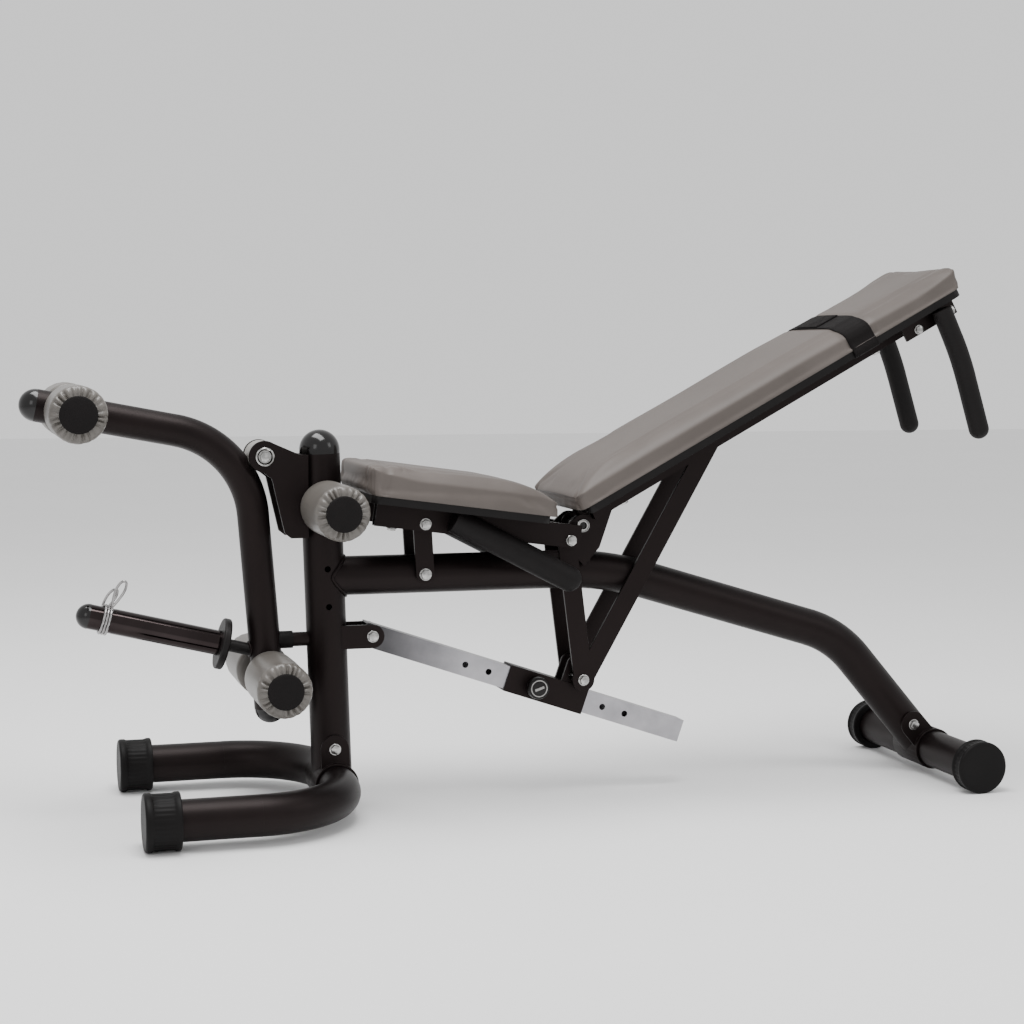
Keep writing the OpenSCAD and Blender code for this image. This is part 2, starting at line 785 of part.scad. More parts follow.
module adjuster_bar() {
    color("#c9c9cb") on_bar() difference() {
        box_tube(-14, 567, -bar_w / 2, bar_w / 2, -bar_w / 2, bar_w / 2, 2.5);
        cross_bar([0, 0], bolt_d + running, -30, 30);
        for (i = [0 : hole_count - 1])
            cross_bar([first_hole + i * hole_pitch, 0], pin_d + 1, -30, 30);
    }
}

// Sleeve on the bar with a slotted lug for the truss bolt and a boss for the pin
module adjuster_sleeve() {
    outer = sleeve_w / 2 + sleeve_wall;
    boss_out = 32;
    slot_0 = lug_s - lug_play;
    slot_w = bolt_d + 2;
    color("#1f1c1b") on_bar() difference() {
        union() {
            box_tube(sleeve_0, sleeve_1, -outer, outer, -outer, outer, sleeve_wall);
            both_sides() slab(14, 14 + plate) {
                translate([slot_0 - 16, outer]) square([lug_play + 32, lug_n - outer + lug_rise]);
                strip([slot_0, lug_n + lug_rise], [lug_s, lug_n + lug_rise], 32);
            }
            cross_bar([pin_at, 0], 24, -boss_out, -outer);
        }
        cross_bar([pin_at, 0], pin_d + running, -boss_out - 1, 0);
        slab(-30, 30) {
            for (n = [lug_n, lug_n + lug_rise]) strip([slot_0, n], [lug_s, n], slot_w);
            translate([slot_0 - slot_w / 2, lug_n]) square([lug_play + slot_w, lug_rise]);
        }
    }
}

// Spring-loaded pin with its round knob
module pull_pin() {
    knob_d = 37;
    color("#26221f") on_bar() {
        cross_bar([pin_at, 0], pin_d, -46, -bar_w / 2 - 0.35);
        difference() {
            translate([pin_at, 0, 0]) rotate([90, 0, 0]) translate([0, 0, 32.4]) {
                cylinder(d = knob_d, h = 13);
                translate([0, 0, 13]) cylinder(d1 = knob_d, d2 = knob_d - 5, h = 2.5);
            }
            translate([pin_at, 0, 0]) rotate([90, 0, 0]) translate([0, 0, 46.5]) difference() {
                cylinder(d = 27, h = 4);
                cylinder(d = 21, h = 4);
                translate([-14, -3, -1]) cube([28, 6, 6]);
            }
        }
    }
}

base_tube();
union() { base_cap(-1); base_cap(1); }  // base_caps
base_saddle();
base_bolt();
front_post();
post_cap();
main_beam();
pivot_ears();
pivot_shaft();
link_bolt();
rear_saddle();
rear_bolt();
rear_foot();
union() { rear_cap(-1); rear_cap(1); }  // rear_caps
adjuster_clevis();
adjuster_bolt();
arm_bracket();
arm_bolt();
arm_stop();
stop_bumper();
hold_down_axle();
roller(hold_down, -1);  // hold_roller_left
roller(hold_down, 1);  // hold_roller_right
roller_end(hold_down, -1);  // hold_end_left
roller_end(hold_down, 1);  // hold_end_right
arm_tube();
arm_caps();
arm_hub();
arm_axle(upper_axle);  // upper_arm_axle
arm_axle(lower_axle);  // lower_arm_axle
roller(upper_axle, -1);  // upper_roller_left
roller(upper_axle, 1);  // upper_roller_right
roller_end(upper_axle, -1);  // upper_end_left
roller_end(upper_axle, 1);  // upper_end_right
roller(lower_axle, -1);  // lower_roller_left
roller(lower_axle, 1);  // lower_roller_right
roller_end(lower_axle, -1);  // lower_end_left
roller_end(lower_axle, 1);  // lower_end_right
weight_peg();
peg_cap();
peg_flange();
spring_collar();
truss_bars();
truss_bolts();
back_frame();
back_board();
back_pad();
back_pad_bolts();
head_strap();
handle_brackets();
rear_handles();
seat_frame();
seat_board();
seat_pad();
seat_bolts();
side_grips();
seat_link();
adjuster_bar();
adjuster_sleeve();
pull_pin();
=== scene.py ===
# %% [markdown]
# # An adjustable weight bench, dressed in Blender
# The measured model is already there: it gives every tube, hinge and bolt its place.
# This lesson gives it looks. Steel parts keep their measured mesh and get a better finish.
# Soft parts, rollers, feet, bolts, the knob and the spring clip are made again in finer detail.

# %% Load the measured frame
import json
import math

import bmesh
import bpy
from mathutils import Matrix, Vector, noise
from mathutils.bvhtree import BVHTree


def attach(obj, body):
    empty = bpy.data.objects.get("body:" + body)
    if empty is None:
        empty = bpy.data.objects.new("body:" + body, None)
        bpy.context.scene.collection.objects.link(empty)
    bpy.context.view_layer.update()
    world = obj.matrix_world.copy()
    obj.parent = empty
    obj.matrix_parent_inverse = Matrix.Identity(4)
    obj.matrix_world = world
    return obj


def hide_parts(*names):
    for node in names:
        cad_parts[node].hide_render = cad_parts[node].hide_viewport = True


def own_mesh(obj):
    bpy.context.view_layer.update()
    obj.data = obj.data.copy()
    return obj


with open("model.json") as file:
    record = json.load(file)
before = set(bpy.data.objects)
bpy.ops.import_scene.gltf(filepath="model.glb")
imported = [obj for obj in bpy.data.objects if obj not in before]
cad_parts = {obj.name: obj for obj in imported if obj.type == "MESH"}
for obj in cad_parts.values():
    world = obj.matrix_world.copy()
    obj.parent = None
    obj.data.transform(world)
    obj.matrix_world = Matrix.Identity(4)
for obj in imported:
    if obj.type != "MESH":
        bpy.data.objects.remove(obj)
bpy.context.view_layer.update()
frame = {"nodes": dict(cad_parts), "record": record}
nodes = frame["nodes"]

# %% [markdown]
# The camera comes first, because it decides which details matter. It stands at table height,
# three metres to the side and nearer the leg end, and looks slightly down. A matrix from
# three directions is the plainest way to aim it.

# %% Camera
PAN, TILT, ROLL = math.radians(16.536), math.radians(4.70), math.radians(0.145)
FOCAL = 1920.5 / 1024 * 36

ahead = Vector((math.sin(PAN) * math.cos(TILT), math.cos(PAN) * math.cos(TILT), -math.sin(TILT)))
right = Vector((math.cos(PAN), -math.sin(PAN), 0))
up = right.cross(ahead)
right, up = (
    right * math.cos(ROLL) + up * math.sin(ROLL),
    up * math.cos(ROLL) - right * math.sin(ROLL),
)
camera = bpy.data.objects.new("camera", bpy.data.cameras.new("camera"))
bpy.context.scene.collection.objects.link(camera)
aim = Matrix((right, up, -ahead)).transposed().to_4x4()
camera.matrix_world = Matrix.Translation((-0.913, -3.036, 0.736)) @ aim
camera.data.lens = FOCAL
camera.data.sensor_width = 36
bpy.context.scene.camera = camera
print("camera at", tuple(round(v, 3) for v in camera.location))

# %% [markdown]
# Several pieces lie along a slope: the backrest, the seat, the adjuster bar and the weight peg.
# Each one is easier to model flat, along its own X, and then to swing into place. A small
# matrix per slope does that, with its origin on the hinge.


# %% Sloping frames
def slope_frame(origin, degrees):
    """X along the slope, Y across the bench, Z off the surface."""
    return Matrix.Translation(origin) @ Matrix.Rotation(math.radians(-degrees), 4, "Y")


BACK_HINGE, SEAT_HINGE = Vector((0.099, 0, 0.454)), Vector((0.071, 0, 0.432))
PEG_ROOT, PEG_RISE = Vector((-0.424, 0, 0.2584)), math.radians(13.9)
HALF_TURN = Matrix.Rotation(math.pi, 4, "X")

ON_BACK = slope_frame(BACK_HINGE, 28.6)
ON_SEAT = slope_frame(SEAT_HINGE, -7.6)
ON_BAR = slope_frame((-0.253, 0, 0.281), -19)
ON_PEG = (Matrix.Translation(PEG_ROOT) @ Matrix.Rotation(math.pi, 4, "Z")
          @ Matrix.Rotation(-PEG_RISE, 4, "Y"))


def across(x, z, side):
    """Z points out of the bench on that side: -1 is the near side, 1 the far side."""
    return Matrix.Translation((x, 0, z)) @ Matrix.Rotation(math.radians(-90 * side), 4, "X")


def lifted(height):
    """A step along Z."""
    return Matrix.Translation((0, 0, height))


# %% [markdown]
# ## Finishes
# A finish is a node tree: a base colour that varies a little, a roughness that varies a
# little, and a bump at the real scale of the grain. All patterns read Object coordinates,
# so they stay put when a part moves. A number that is the same everywhere is set on the shader.


# %% Finish helper
def set_inputs(node, values):
    """Sets a node's unlinked inputs by name."""
    for name, value in values.items():
        node.inputs[name].default_value = value


def finish_of(name, low, high, rough, blotch=6.0, grain=900.0, grain_depth=0.15, bump=0.0004,
              metal=0.0, voronoi=False, specular=0.5):
    """A finish whose colour drifts from low to high, with fine grain in bump and roughness."""
    finish = bpy.data.materials.new(name)
    finish.use_nodes = True
    tree = finish.node_tree
    shader = tree.nodes["Principled BSDF"]
    set_inputs(shader, {"Metallic": metal, "Specular IOR Level": specular})
    place = tree.nodes.new("ShaderNodeTexCoord")
    cloud = tree.nodes.new("ShaderNodeTexNoise")
    set_inputs(cloud, {"Scale": blotch, "Detail": 6, "Roughness": 0.6})
    drift = tree.nodes.new("ShaderNodeValToRGB")
    for stop, at, colour in zip(drift.color_ramp.elements, (0.3, 0.7), (low, high)):
        stop.position = at
        stop.color = (*colour, 1)
    if voronoi:
        fine = tree.nodes.new("ShaderNodeTexVoronoi")
        fine.feature = "SMOOTH_F1"
        height = fine.outputs["Distance"]
    else:
        fine = tree.nodes.new("ShaderNodeTexNoise")
        set_inputs(fine, {"Detail": 3})
        height = fine.outputs["Fac"]
    set_inputs(fine, {"Scale": grain})
    relief = tree.nodes.new("ShaderNodeBump")
    set_inputs(relief, {"Strength": grain_depth, "Distance": bump})
    gloss = tree.nodes.new("ShaderNodeMapRange")
    set_inputs(gloss, {"To Min": rough[0], "To Max": rough[1]})
    join = tree.links.new
    join(place.outputs["Object"], cloud.inputs["Vector"])
    join(place.outputs["Object"], fine.inputs["Vector"])
    join(cloud.outputs["Fac"], drift.inputs["Fac"])
    join(drift.outputs["Color"], shader.inputs["Base Color"])
    join(cloud.outputs["Fac"], gloss.inputs["Value"])
    join(gloss.outputs["Result"], shader.inputs["Roughness"])
    join(height, relief.inputs["Height"])
    join(relief.outputs["Normal"], shader.inputs["Normal"])
    return finish


# %% [markdown]
# The tubes and plates wear a satin powder coat, a very dark warm brown. Powder melts into a
# skin with a faint orange peel, so the bump is soft and the gloss is uneven.
# Rubber is duller, moulded plugs are glossy, and zinc plate is pale and slightly cloudy.

# %% Finishes of the hard parts
powder_coat = finish_of("powder_coat", (0.0030, 0.0020, 0.0021), (0.0058, 0.0038, 0.0038),
                        (0.34, 0.48), blotch=9, grain=1300, grain_depth=0.35, bump=0.0003,
                        specular=0.16)
moulded_rubber = finish_of("moulded_rubber", (0.0022, 0.0018, 0.0018), (0.0042, 0.0034, 0.0034),
                           (0.44, 0.6), blotch=14, grain=2200, grain_depth=0.4, bump=0.0002,
                           specular=0.14)
gloss_plug = finish_of("gloss_plug", (0.0020, 0.0015, 0.0015), (0.0032, 0.0024, 0.0024),
                       (0.12, 0.22), blotch=20, grain=600, grain_depth=0.05, specular=0.4)
zinc = finish_of("zinc_plate", (0.22, 0.22, 0.215), (0.55, 0.54, 0.53),
                 (0.12, 0.30), blotch=150, grain=2600, grain_depth=0.12, bump=0.0002, metal=1.0)
bar_zinc = finish_of("bar_zinc", (0.28, 0.275, 0.29), (0.42, 0.41, 0.43),
                     (0.26, 0.42), blotch=16, grain=1500, grain_depth=0.15, bump=0.0002, metal=1.0)
dark_chrome = finish_of("dark_chrome", (0.022, 0.017, 0.017), (0.034, 0.027, 0.027),
                        (0.06, 0.12), blotch=12, grain=700, grain_depth=0.04, metal=1.0)
bright_wire = finish_of("bright_wire", (0.26, 0.25, 0.25), (0.40, 0.39, 0.39),
                        (0.06, 0.14), blotch=40, grain=900, grain_depth=0.05, metal=1.0)
set_inputs(powder_coat.node_tree.nodes["Principled BSDF"],
           {"Specular Tint": (1, 0.84, 0.82, 1)})
cast_iron = finish_of("flange_iron", (0.0035, 0.0026, 0.0026), (0.0062, 0.0045, 0.0045),
                      (0.34, 0.5), blotch=24, grain=800, grain_depth=0.5, bump=0.0004, specular=0.2)
hub_paint = finish_of("hub_paint", (0.2, 0.19, 0.175), (0.27, 0.26, 0.24),
                      (0.4, 0.55), blotch=18, grain=900, grain_depth=0.2)
grip_skin = finish_of("grip_skin", (0.0036, 0.0028, 0.0028), (0.0062, 0.0048, 0.0048),
                      (0.5, 0.64), blotch=20, grain=1500, grain_depth=0.6, bump=0.0003,
                      voronoi=True, specular=0.16)
black_ply = finish_of("black_ply", (0.0022, 0.0016, 0.0016), (0.0040, 0.0030, 0.0030),
                      (0.36, 0.5), blotch=30, grain=700, grain_depth=0.3, bump=0.0003, specular=0.2)
knob_plastic = finish_of("knob_plastic", (0.0032, 0.0026, 0.0026), (0.0055, 0.0044, 0.0044),
                         (0.3, 0.42), blotch=30, grain=1800, grain_depth=0.2, bump=0.0002,
                         specular=0.25)
worn_plastic = finish_of("worn_plastic", (0.2, 0.195, 0.19), (0.34, 0.33, 0.32),
                         (0.4, 0.55), blotch=90, grain=1800, grain_depth=0.2, bump=0.0002)

# %% [markdown]
# The covers are a taupe vinyl with a fine leather grain, and the rollers wear a paler one.
# The grain is a cell pattern under a millimetre wide: on such a scale it only softens the light.

# %% Finishes of the soft parts
pad_vinyl = finish_of("pad_vinyl", (0.076, 0.064, 0.057), (0.101, 0.086, 0.078),
                      (0.44, 0.56), blotch=5, grain=1100, grain_depth=0.3, bump=0.0005,
                      voronoi=True, specular=0.3)
roller_vinyl = finish_of("roller_vinyl", (0.082, 0.074, 0.066), (0.116, 0.106, 0.096),
                         (0.30, 0.42), blotch=14, grain=1100, grain_depth=0.25, bump=0.0004,
                         voronoi=True)
disc_cloth = finish_of("disc_cloth", (0.0032, 0.0024, 0.0024), (0.0056, 0.0042, 0.0042),
                       (0.6, 0.75), blotch=40, grain=1000, grain_depth=0.9, bump=0.0005,
                       voronoi=True, specular=0.15)


def woven_finish():
    """Webbing: fine ribs across a narrow band, from the band's own UV map in metres."""
    web = bpy.data.materials.new("webbing")
    web.use_nodes = True
    tree = web.node_tree
    shader = tree.nodes["Principled BSDF"]
    set_inputs(shader, {"Roughness": 0.78, "Specular IOR Level": 0.15})
    uv = tree.nodes.new("ShaderNodeUVMap")
    uv.uv_map = "along"
    ribs = tree.nodes.new("ShaderNodeTexWave")
    set_inputs(ribs, {"Scale": 190, "Distortion": 1.2, "Detail Scale": 4})
    shade = tree.nodes.new("ShaderNodeValToRGB")
    shade.color_ramp.elements[0].color = (0.0022, 0.0016, 0.0016, 1)
    shade.color_ramp.elements[1].color = (0.0065, 0.0048, 0.0048, 1)
    relief = tree.nodes.new("ShaderNodeBump")
    set_inputs(relief, {"Strength": 0.7, "Distance": 0.0006})
    join = tree.links.new
    join(uv.outputs["UV"], ribs.inputs["Vector"])
    join(ribs.outputs["Color"], shade.inputs["Fac"])
    join(shade.outputs["Color"], shader.inputs["Base Color"])
    join(ribs.outputs["Fac"], relief.inputs["Height"])
    join(relief.outputs["Normal"], shader.inputs["Normal"])
    return web


webbing = woven_finish()


def paint_shade_towards(finish, far, near, least):
    """Paints shade into a finish: its colour falls along X from full at near to least at far."""
    tree = finish.node_tree
    shader = tree.nodes["Principled BSDF"]
    colour = shader.inputs["Base Color"].links[0].from_socket
    place = tree.nodes.new("ShaderNodeTexCoord")
    split = tree.nodes.new("ShaderNodeSeparateXYZ")
    # painted shade: a ramp along X that scales the colour down towards far
    painted_shade_ramp = tree.nodes.new("ShaderNodeMapRange")
    set_inputs(painted_shade_ramp, {"From Min": far, "From Max": near, "To Min": least, "To Max": 1.0})
    shade = tree.nodes.new("ShaderNodeVectorMath")
    shade.operation = "SCALE"
    tree.links.new(place.outputs["Object"], split.inputs["Vector"])
    tree.links.new(split.outputs["X"], painted_shade_ramp.inputs["Value"])
    tree.links.new(colour, shade.inputs[0])
    tree.links.new(painted_shade_ramp.outputs["Result"], shade.inputs["Scale"])
    tree.links.new(shade.outputs["Vector"], shader.inputs["Base Color"])


# painted shade on the adjuster bar: its zinc darkens along X down to 0.22 of its colour at x = -0.235
paint_shade_towards(bar_zinc, -0.235, -0.085, 0.22)
print("finishes:", len(bpy.data.materials))

# %% [markdown]
# The steel parts keep their measured mesh. Each takes its finish by the slot that the
# record gives it.

# %% Dress the measured parts
BY_SLOT = {
    "frame_paint": powder_coat,
    "cap_rubber": moulded_rubber,
    "plug_plastic": gloss_plug,
    "fastener_zinc": zinc,
    "axle_steel": powder_coat,
    "bar_zinc": bar_zinc,
    "peg_chrome": dark_chrome,
    "flange_iron": cast_iron,
    "hub_grey": hub_paint,
    "vinyl": pad_vinyl,
    "roller_vinyl": roller_vinyl,
    "board": black_ply,
    "webbing": webbing,
    "grip_rubber": grip_skin,
    "knob_plastic": knob_plastic,
}
for part in frame["record"]["subparts"]:
    mesh = nodes[part["node"]].data
    mesh.materials.clear()
    mesh.materials.append(BY_SLOT[part["material_slot"]])

# %% [markdown]
# Folded plates and square tubes have slightly rounded edges, and that thin line of light is
# what makes them read as steel. A Weld joins the loose triangles, a planar Decimate clears the
# flat faces, and a Bevel rounds the edges that turn sharply. All are modifiers, so the measured
# mesh itself stays as it is.

# %% Soften the edges of plates and square tubes
EDGE_PARTS = {
    "truss_bars": 0.0008, "back_frame": 0.0012, "seat_frame": 0.0012, "seat_link": 0.0008,
    "adjuster_sleeve": 0.0009, "adjuster_bar": 0.001, "adjuster_clevis": 0.0008,
    "arm_bracket": 0.001, "handle_brackets": 0.0008, "back_board": 0.002, "seat_board": 0.002,
    "base_saddle": 0.0008, "rear_saddle": 0.0008, "pivot_ears": 0.0006,
}
for name, width in EDGE_PARTS.items():
    weld = nodes[name].modifiers.new("weld", "WELD")
    weld.merge_threshold = 0.00001
    flats = nodes[name].modifiers.new("flats", "DECIMATE")
    flats.decimate_type = "DISSOLVE"
    flats.angle_limit = math.radians(1)
    round_edges = nodes[name].modifiers.new("edges", "BEVEL")
    round_edges.width = width
    round_edges.segments = 2
    round_edges.limit_method = "ANGLE"
    round_edges.angle_limit = math.radians(50)
    round_edges.harden_normals = True
print("edges softened on", len(EDGE_PARTS), "parts")

# %% [markdown]
# ## Making new pieces
# Most new pieces are turned on a lathe: a profile is drawn from the axis outwards and spun.
# A finished piece sits at the origin with its place in its mesh, and rides on a body.


# %% Piece helpers
def finished(name, bm, material, body, stands_for=(), sharp=40):
    """Turns a bmesh into a piece of the bench that moves with a body."""
    mesh = bpy.data.meshes.new(name)
    bm.to_mesh(mesh)
    bm.free()
    mesh.materials.append(material)
    mesh.polygons.foreach_set("use_smooth", [True] * len(mesh.polygons))
    mesh.set_sharp_from_angle(angle=math.radians(sharp))
    piece = bpy.data.objects.new(name, mesh)
    bpy.context.scene.collection.objects.link(piece)
    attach(piece, body)
    if stands_for:
        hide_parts(*stands_for)
    return piece


def turned(bm, profile, place, steps=64):
    """Spins a profile of (radius, height) about Z and puts it in place."""
    ring = [bm.verts.new((r, 0, h)) for r, h in profile]
    line = [bm.edges.new(pair) for pair in zip(ring, ring[1:])]
    bmesh.ops.spin(bm, geom=ring + line, cent=(0, 0, 0), axis=(0, 0, 1), angle=math.tau,
                   steps=steps, use_merge=True)
    reached, todo = set(ring), list(ring)
    while todo:
        for edge in todo.pop().link_edges:
            for vert in edge.verts:
                if vert not in reached:
                    reached.add(vert)
                    todo.append(vert)
    shell = [v for v in reached if v.is_valid]
    bmesh.ops.remove_doubles(bm, verts=shell, dist=0.000002)
    shell = [v for v in shell if v.is_valid]
    faces = {f for v in shell for f in v.link_faces}
    bmesh.ops.recalc_face_normals(bm, faces=list(faces))
    bmesh.ops.transform(bm, matrix=place, verts=shell)
    return shell


def arc(r, h, radius, start, end, count=5):
    """Points of a quarter round in a profile; angles in degrees from the outward radius."""
    turn = [math.radians(start + (end - start) * i / count) for i in range(count + 1)]
    return [(r + radius * math.cos(t), h + radius * math.sin(t)) for t in turn]


# %% [markdown]
# ### Pads
# A pad is foam on a board under a tight vinyl cover, stapled below. It is full in the middle,
# its long edges have soft shoulders, and its top falls towards the hinge so that the pads
# clear each other. The blank starts as a cube. A voxel remesh gives it even cloth, the shape
# is pressed in, and then a pressure simulation swells the cover as foam does.


# %% Shape of a pad
def ease(t):
    """0 to 1 with a soft start and a soft end."""
    t = min(1.0, max(0.0, t))
    return t * t * (3 - 2 * t)


def pad_height(x, y, length, width, thick, low, head_drop=0.0):
    """Height of the top over the board: x runs from the falling end to the blunt end."""
    slope = min(1.0, max(0.0, (abs(y) - (width / 2 - 0.046)) / 0.046))
    fullness = 0.42 - 0.24 * ease((x - (length - 0.09)) / 0.09)
    side = 1 - fullness * (1 - math.sqrt(1 - 0.97 * slope ** 2))
    fall = max(0.0, 1 - x / 0.112)
    end = low + (1 - low) * (1 - fall ** 2.1)
    top = thick * (side ** -7 + end ** -7 - 1) ** (-1 / 7)
    top -= head_drop * max(0.0, x / length - 0.6) / 0.4
    corner = 0.007
    past = min(corner, max(0.0, x - (length - corner)))
    return top - (corner - math.sqrt(corner ** 2 - past ** 2))


def pad_blank(length, width, thick, low, head_drop):
    """An evenly meshed pad without its swelling, on z = 0."""
    bm = bmesh.new()
    bmesh.ops.create_cube(bm, size=1)
    bmesh.ops.scale(bm, vec=(length, width, thick), verts=bm.verts)
    bmesh.ops.translate(bm, vec=(length / 2, 0, thick / 2), verts=bm.verts)
    mesh = bpy.data.meshes.new("blank")
    bm.to_mesh(mesh)
    bm.free()
    blank = bpy.data.objects.new("blank", mesh)
    bpy.context.scene.collection.objects.link(blank)
    remesh = blank.modifiers.new("even", "REMESH")
    remesh.mode = "VOXEL"
    remesh.voxel_size = 0.0058
    even = bpy.data.meshes.new_from_object(
        blank.evaluated_get(bpy.context.evaluated_depsgraph_get()))
    blank.modifiers.clear()
    blank.data = even
    corner = 0.018
    for vert in even.vertices:
        x, y, z = vert.co
        dx = max(corner - x, x - (length - corner), 0)
        dy = max(abs(y) - (width / 2 - corner), 0)
        reach = math.hypot(dx, dy)
        if reach > 1e-6 and dx > 0 and dy > 0:
            pull = max(dx, dy) / reach
            x += (1 if x < corner else -1) * dx * (1 - pull)
            y -= math.copysign(dy * (1 - pull), y)
        lean = 0.010 * (z / thick) * ease((x - (length - 0.05)) / 0.05)
        top = pad_height(x, y, length, width, thick, low, head_drop)
        vert.co = (x + lean, y, z / thick * top)
    return blank


# %% [markdown]
# The cloth keeps its underside pinned, because the board holds it. Nothing may move more than
# a few millimetres, so the pad stays in the room that the frame leaves for it.


# %% Swell a pad
CLOTH_STEPS = 20


def swell(blank, pressure, most):
    """Blows the cover up and keeps the result in the mesh."""
    mesh = blank.data
    start = [vert.co.copy() for vert in mesh.vertices]
    held = blank.vertex_groups.new(name="held")
    for vert in mesh.vertices:
        if vert.co.z < 0.004:
            held.add([vert.index], 1.0, "REPLACE")
    cloth = blank.modifiers.new("cover", "CLOTH")
    cloth.settings.quality = 4
    cloth.settings.mass = 0.3
    cloth.settings.tension_stiffness = 12
    cloth.settings.compression_stiffness = 12
    cloth.settings.bending_stiffness = 1.5
    cloth.settings.use_pressure = True
    cloth.settings.uniform_pressure_force = pressure
    cloth.settings.effector_weights.gravity = 0
    cloth.settings.vertex_group_mass = "held"
    cloth.point_cache.frame_start, cloth.point_cache.frame_end = 1, CLOTH_STEPS
    scene = bpy.context.scene
    for step in range(1, CLOTH_STEPS + 1):
        scene.frame_set(step)
    swollen = blank.evaluated_get(bpy.context.evaluated_depsgraph_get()).data
    ends = [vert.co.copy() for vert in swollen.vertices]
    blank.modifiers.clear()
    for vert, was, now in zip(mesh.vertices, start, ends):
        move = now - was
        if move.length > most:
            move *= most / move.length
        vert.co = was + move
        vert.co.z = max(vert.co.z, 0.0)
    scene.frame_set(1)


# %% [markdown]
# A real cover shows how it was sewn and pulled. The corners are tucked, a short seam crosses
# the falling end, a narrow panel closes the blunt end, and the staples draw faint ripples
# along the lower edge. These go in after the simulation, which would smooth them away.


# %% Sewing and ripples of a pad
def groove(distance, half_width):
    """How deep a crease is at a distance from its line, from 0 to 1."""
    t = min(1.0, abs(distance) / half_width)
    return (1 - t * t) ** 2


def refine(pad):
    """Subdivides the cover once, so that it is fine enough for seams."""
    finer = pad.modifiers.new("finer", "SUBSURF")
    finer.levels = finer.render_levels = 1
    smooth = bpy.data.meshes.new_from_object(
        pad.evaluated_get(bpy.context.evaluated_depsgraph_get()))
    pad.modifiers.clear()
    pad.vertex_groups.clear()
    pad.data = smooth


def sew(pad, length, width, thick, low, end_panel, phase):
    """Presses the tucks, seams and ripples into the cover, along its normals."""
    mesh = pad.data
    normals = [vert.normal.copy() for vert in mesh.vertices]
    for vert, normal in zip(mesh.vertices, normals):
        x, y, z = vert.co
        if z < 0.002:
            continue
        height = z / thick
        depth = 0.0
        corner = width / 2 - 0.016
        on_low_end = ease(1 - (x - 0.004) / 0.014)
        depth += 0.0032 * on_low_end * groove(abs(y) - corner + 0.012 * height, 0.0065)
        depth += 0.0020 * on_low_end * groove(z - low * thick * 0.84, 0.0055)
        on_blunt_end = ease((x - (length - 0.014)) / 0.01)
        depth += 0.0022 * on_blunt_end * groove(abs(y) - corner, 0.006) * ease(height * 2)
        if end_panel:
            line = length - end_panel - 0.003 * math.sin(y * 21 + phase)
            depth += 0.0030 * groove(x - line, 0.009)
            pucker = math.hypot(x - (length - 0.052), abs(y) - 0.101)
            ray = math.cos(5 * math.atan2(abs(y) - 0.101, x - (length - 0.052)))
            depth += 0.0011 * groove(pucker, 0.022) * ray
        ridge = width / 2 - 0.040 - 0.003 * math.sin(x * 9 + phase)
        depth += 0.0013 * groove(abs(y) - ridge, 0.013) * ease((x - 0.07) / 0.06)
        near_board = ease(1 - (height - 0.1) / 0.45)
        ripple = noise.noise(Vector((x * 46 + phase, y * 46, z * 14)))
        drape = noise.noise(Vector((x * 7, y * 14 + phase, z * 9)))
        depth += 0.0009 * near_board * ripple + 0.0007 * drape
        vert.co = vert.co - normal * depth
        vert.co.z = max(vert.co.z, 0.0)


def upholster(name, length, width, thick, low, place, body, node, end_panel, phase, head_drop):
    """Makes one pad from blank to sewn cover."""
    slack = 0.002
    blank = pad_blank(length - 2 * slack, width - 2 * slack, thick - slack, low, head_drop)
    swell(blank, 4.0, 0.0035)
    refine(blank)
    sew(blank, length - 2 * slack, width - 2 * slack, thick - slack, low, end_panel, phase)
    mesh = blank.data
    mesh.transform(place @ Matrix.Translation((slack, 0, 0)))
    if place.determinant() < 0:
        mesh.flip_normals()
    mesh.materials.clear()
    mesh.materials.append(pad_vinyl)
    mesh.polygons.foreach_set("use_smooth", [True] * len(mesh.polygons))
    blank.name = mesh.name = name
    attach(blank, body)
    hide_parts(node)
    print(name, "has", len(mesh.polygons), "cover faces")
    return blank


# %% The two pads
BACK_START, BACK_LENGTH, PAD_WIDTH, BACK_THICK, BACK_UNDER = -0.014, 0.772, 0.260, 0.0445, 0.0414
SEAT_START, SEAT_LENGTH, SEAT_THICK, SEAT_UNDER = -0.358, 0.315, 0.0492, 0.038

back_place = ON_BACK @ Matrix.Translation((BACK_START, 0, BACK_UNDER))
seat_place = (ON_SEAT @ Matrix.Translation((SEAT_START + SEAT_LENGTH, 0, SEAT_UNDER))
              @ Matrix.Scale(-1, 4, (1, 0, 0)))
back_cover = upholster("back_cover", BACK_LENGTH, PAD_WIDTH, BACK_THICK, 0.56, back_place,
                       "backrest", "back_pad", 0.0, 0.4, 0.007)
seat_cover = upholster("seat_cover", SEAT_LENGTH, PAD_WIDTH, SEAT_THICK, 0.42, seat_place,
                       "seat", "seat_pad", 0.024, 2.1, 0.0)

# %% [markdown]
# ### Head strap
# A band of black webbing goes over the pad near its head end and is fixed under the board.
# It bites into the foam a little. Rays shot at the finished pad find the cover, so the band
# lies on it everywhere, and the band is then given its thickness.

# %% Press the strap's bed into the pad
STRAP_AT, STRAP_WIDTH, STRAP_THICK = 0.550, 0.048, 0.0018
to_back = ON_BACK.inverted()
for vert in back_cover.data.vertices:
    a, y, n = to_back @ vert.co
    bite = ease(1 - (abs(a - STRAP_AT) - STRAP_WIDTH / 2) / 0.012)
    if bite > 0 and n > BACK_UNDER + 0.004:
        sideways = 0.0022 * bite * math.copysign(ease((abs(y) - 0.09) / 0.03), y)
        down = 0.0022 * bite * ease((n - BACK_UNDER - 0.02) / 0.02)
        vert.co = ON_BACK @ Vector((a, y - sideways, n - down))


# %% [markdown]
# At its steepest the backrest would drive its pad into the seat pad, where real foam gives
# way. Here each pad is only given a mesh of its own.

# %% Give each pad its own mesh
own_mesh(back_cover)
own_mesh(seat_cover)


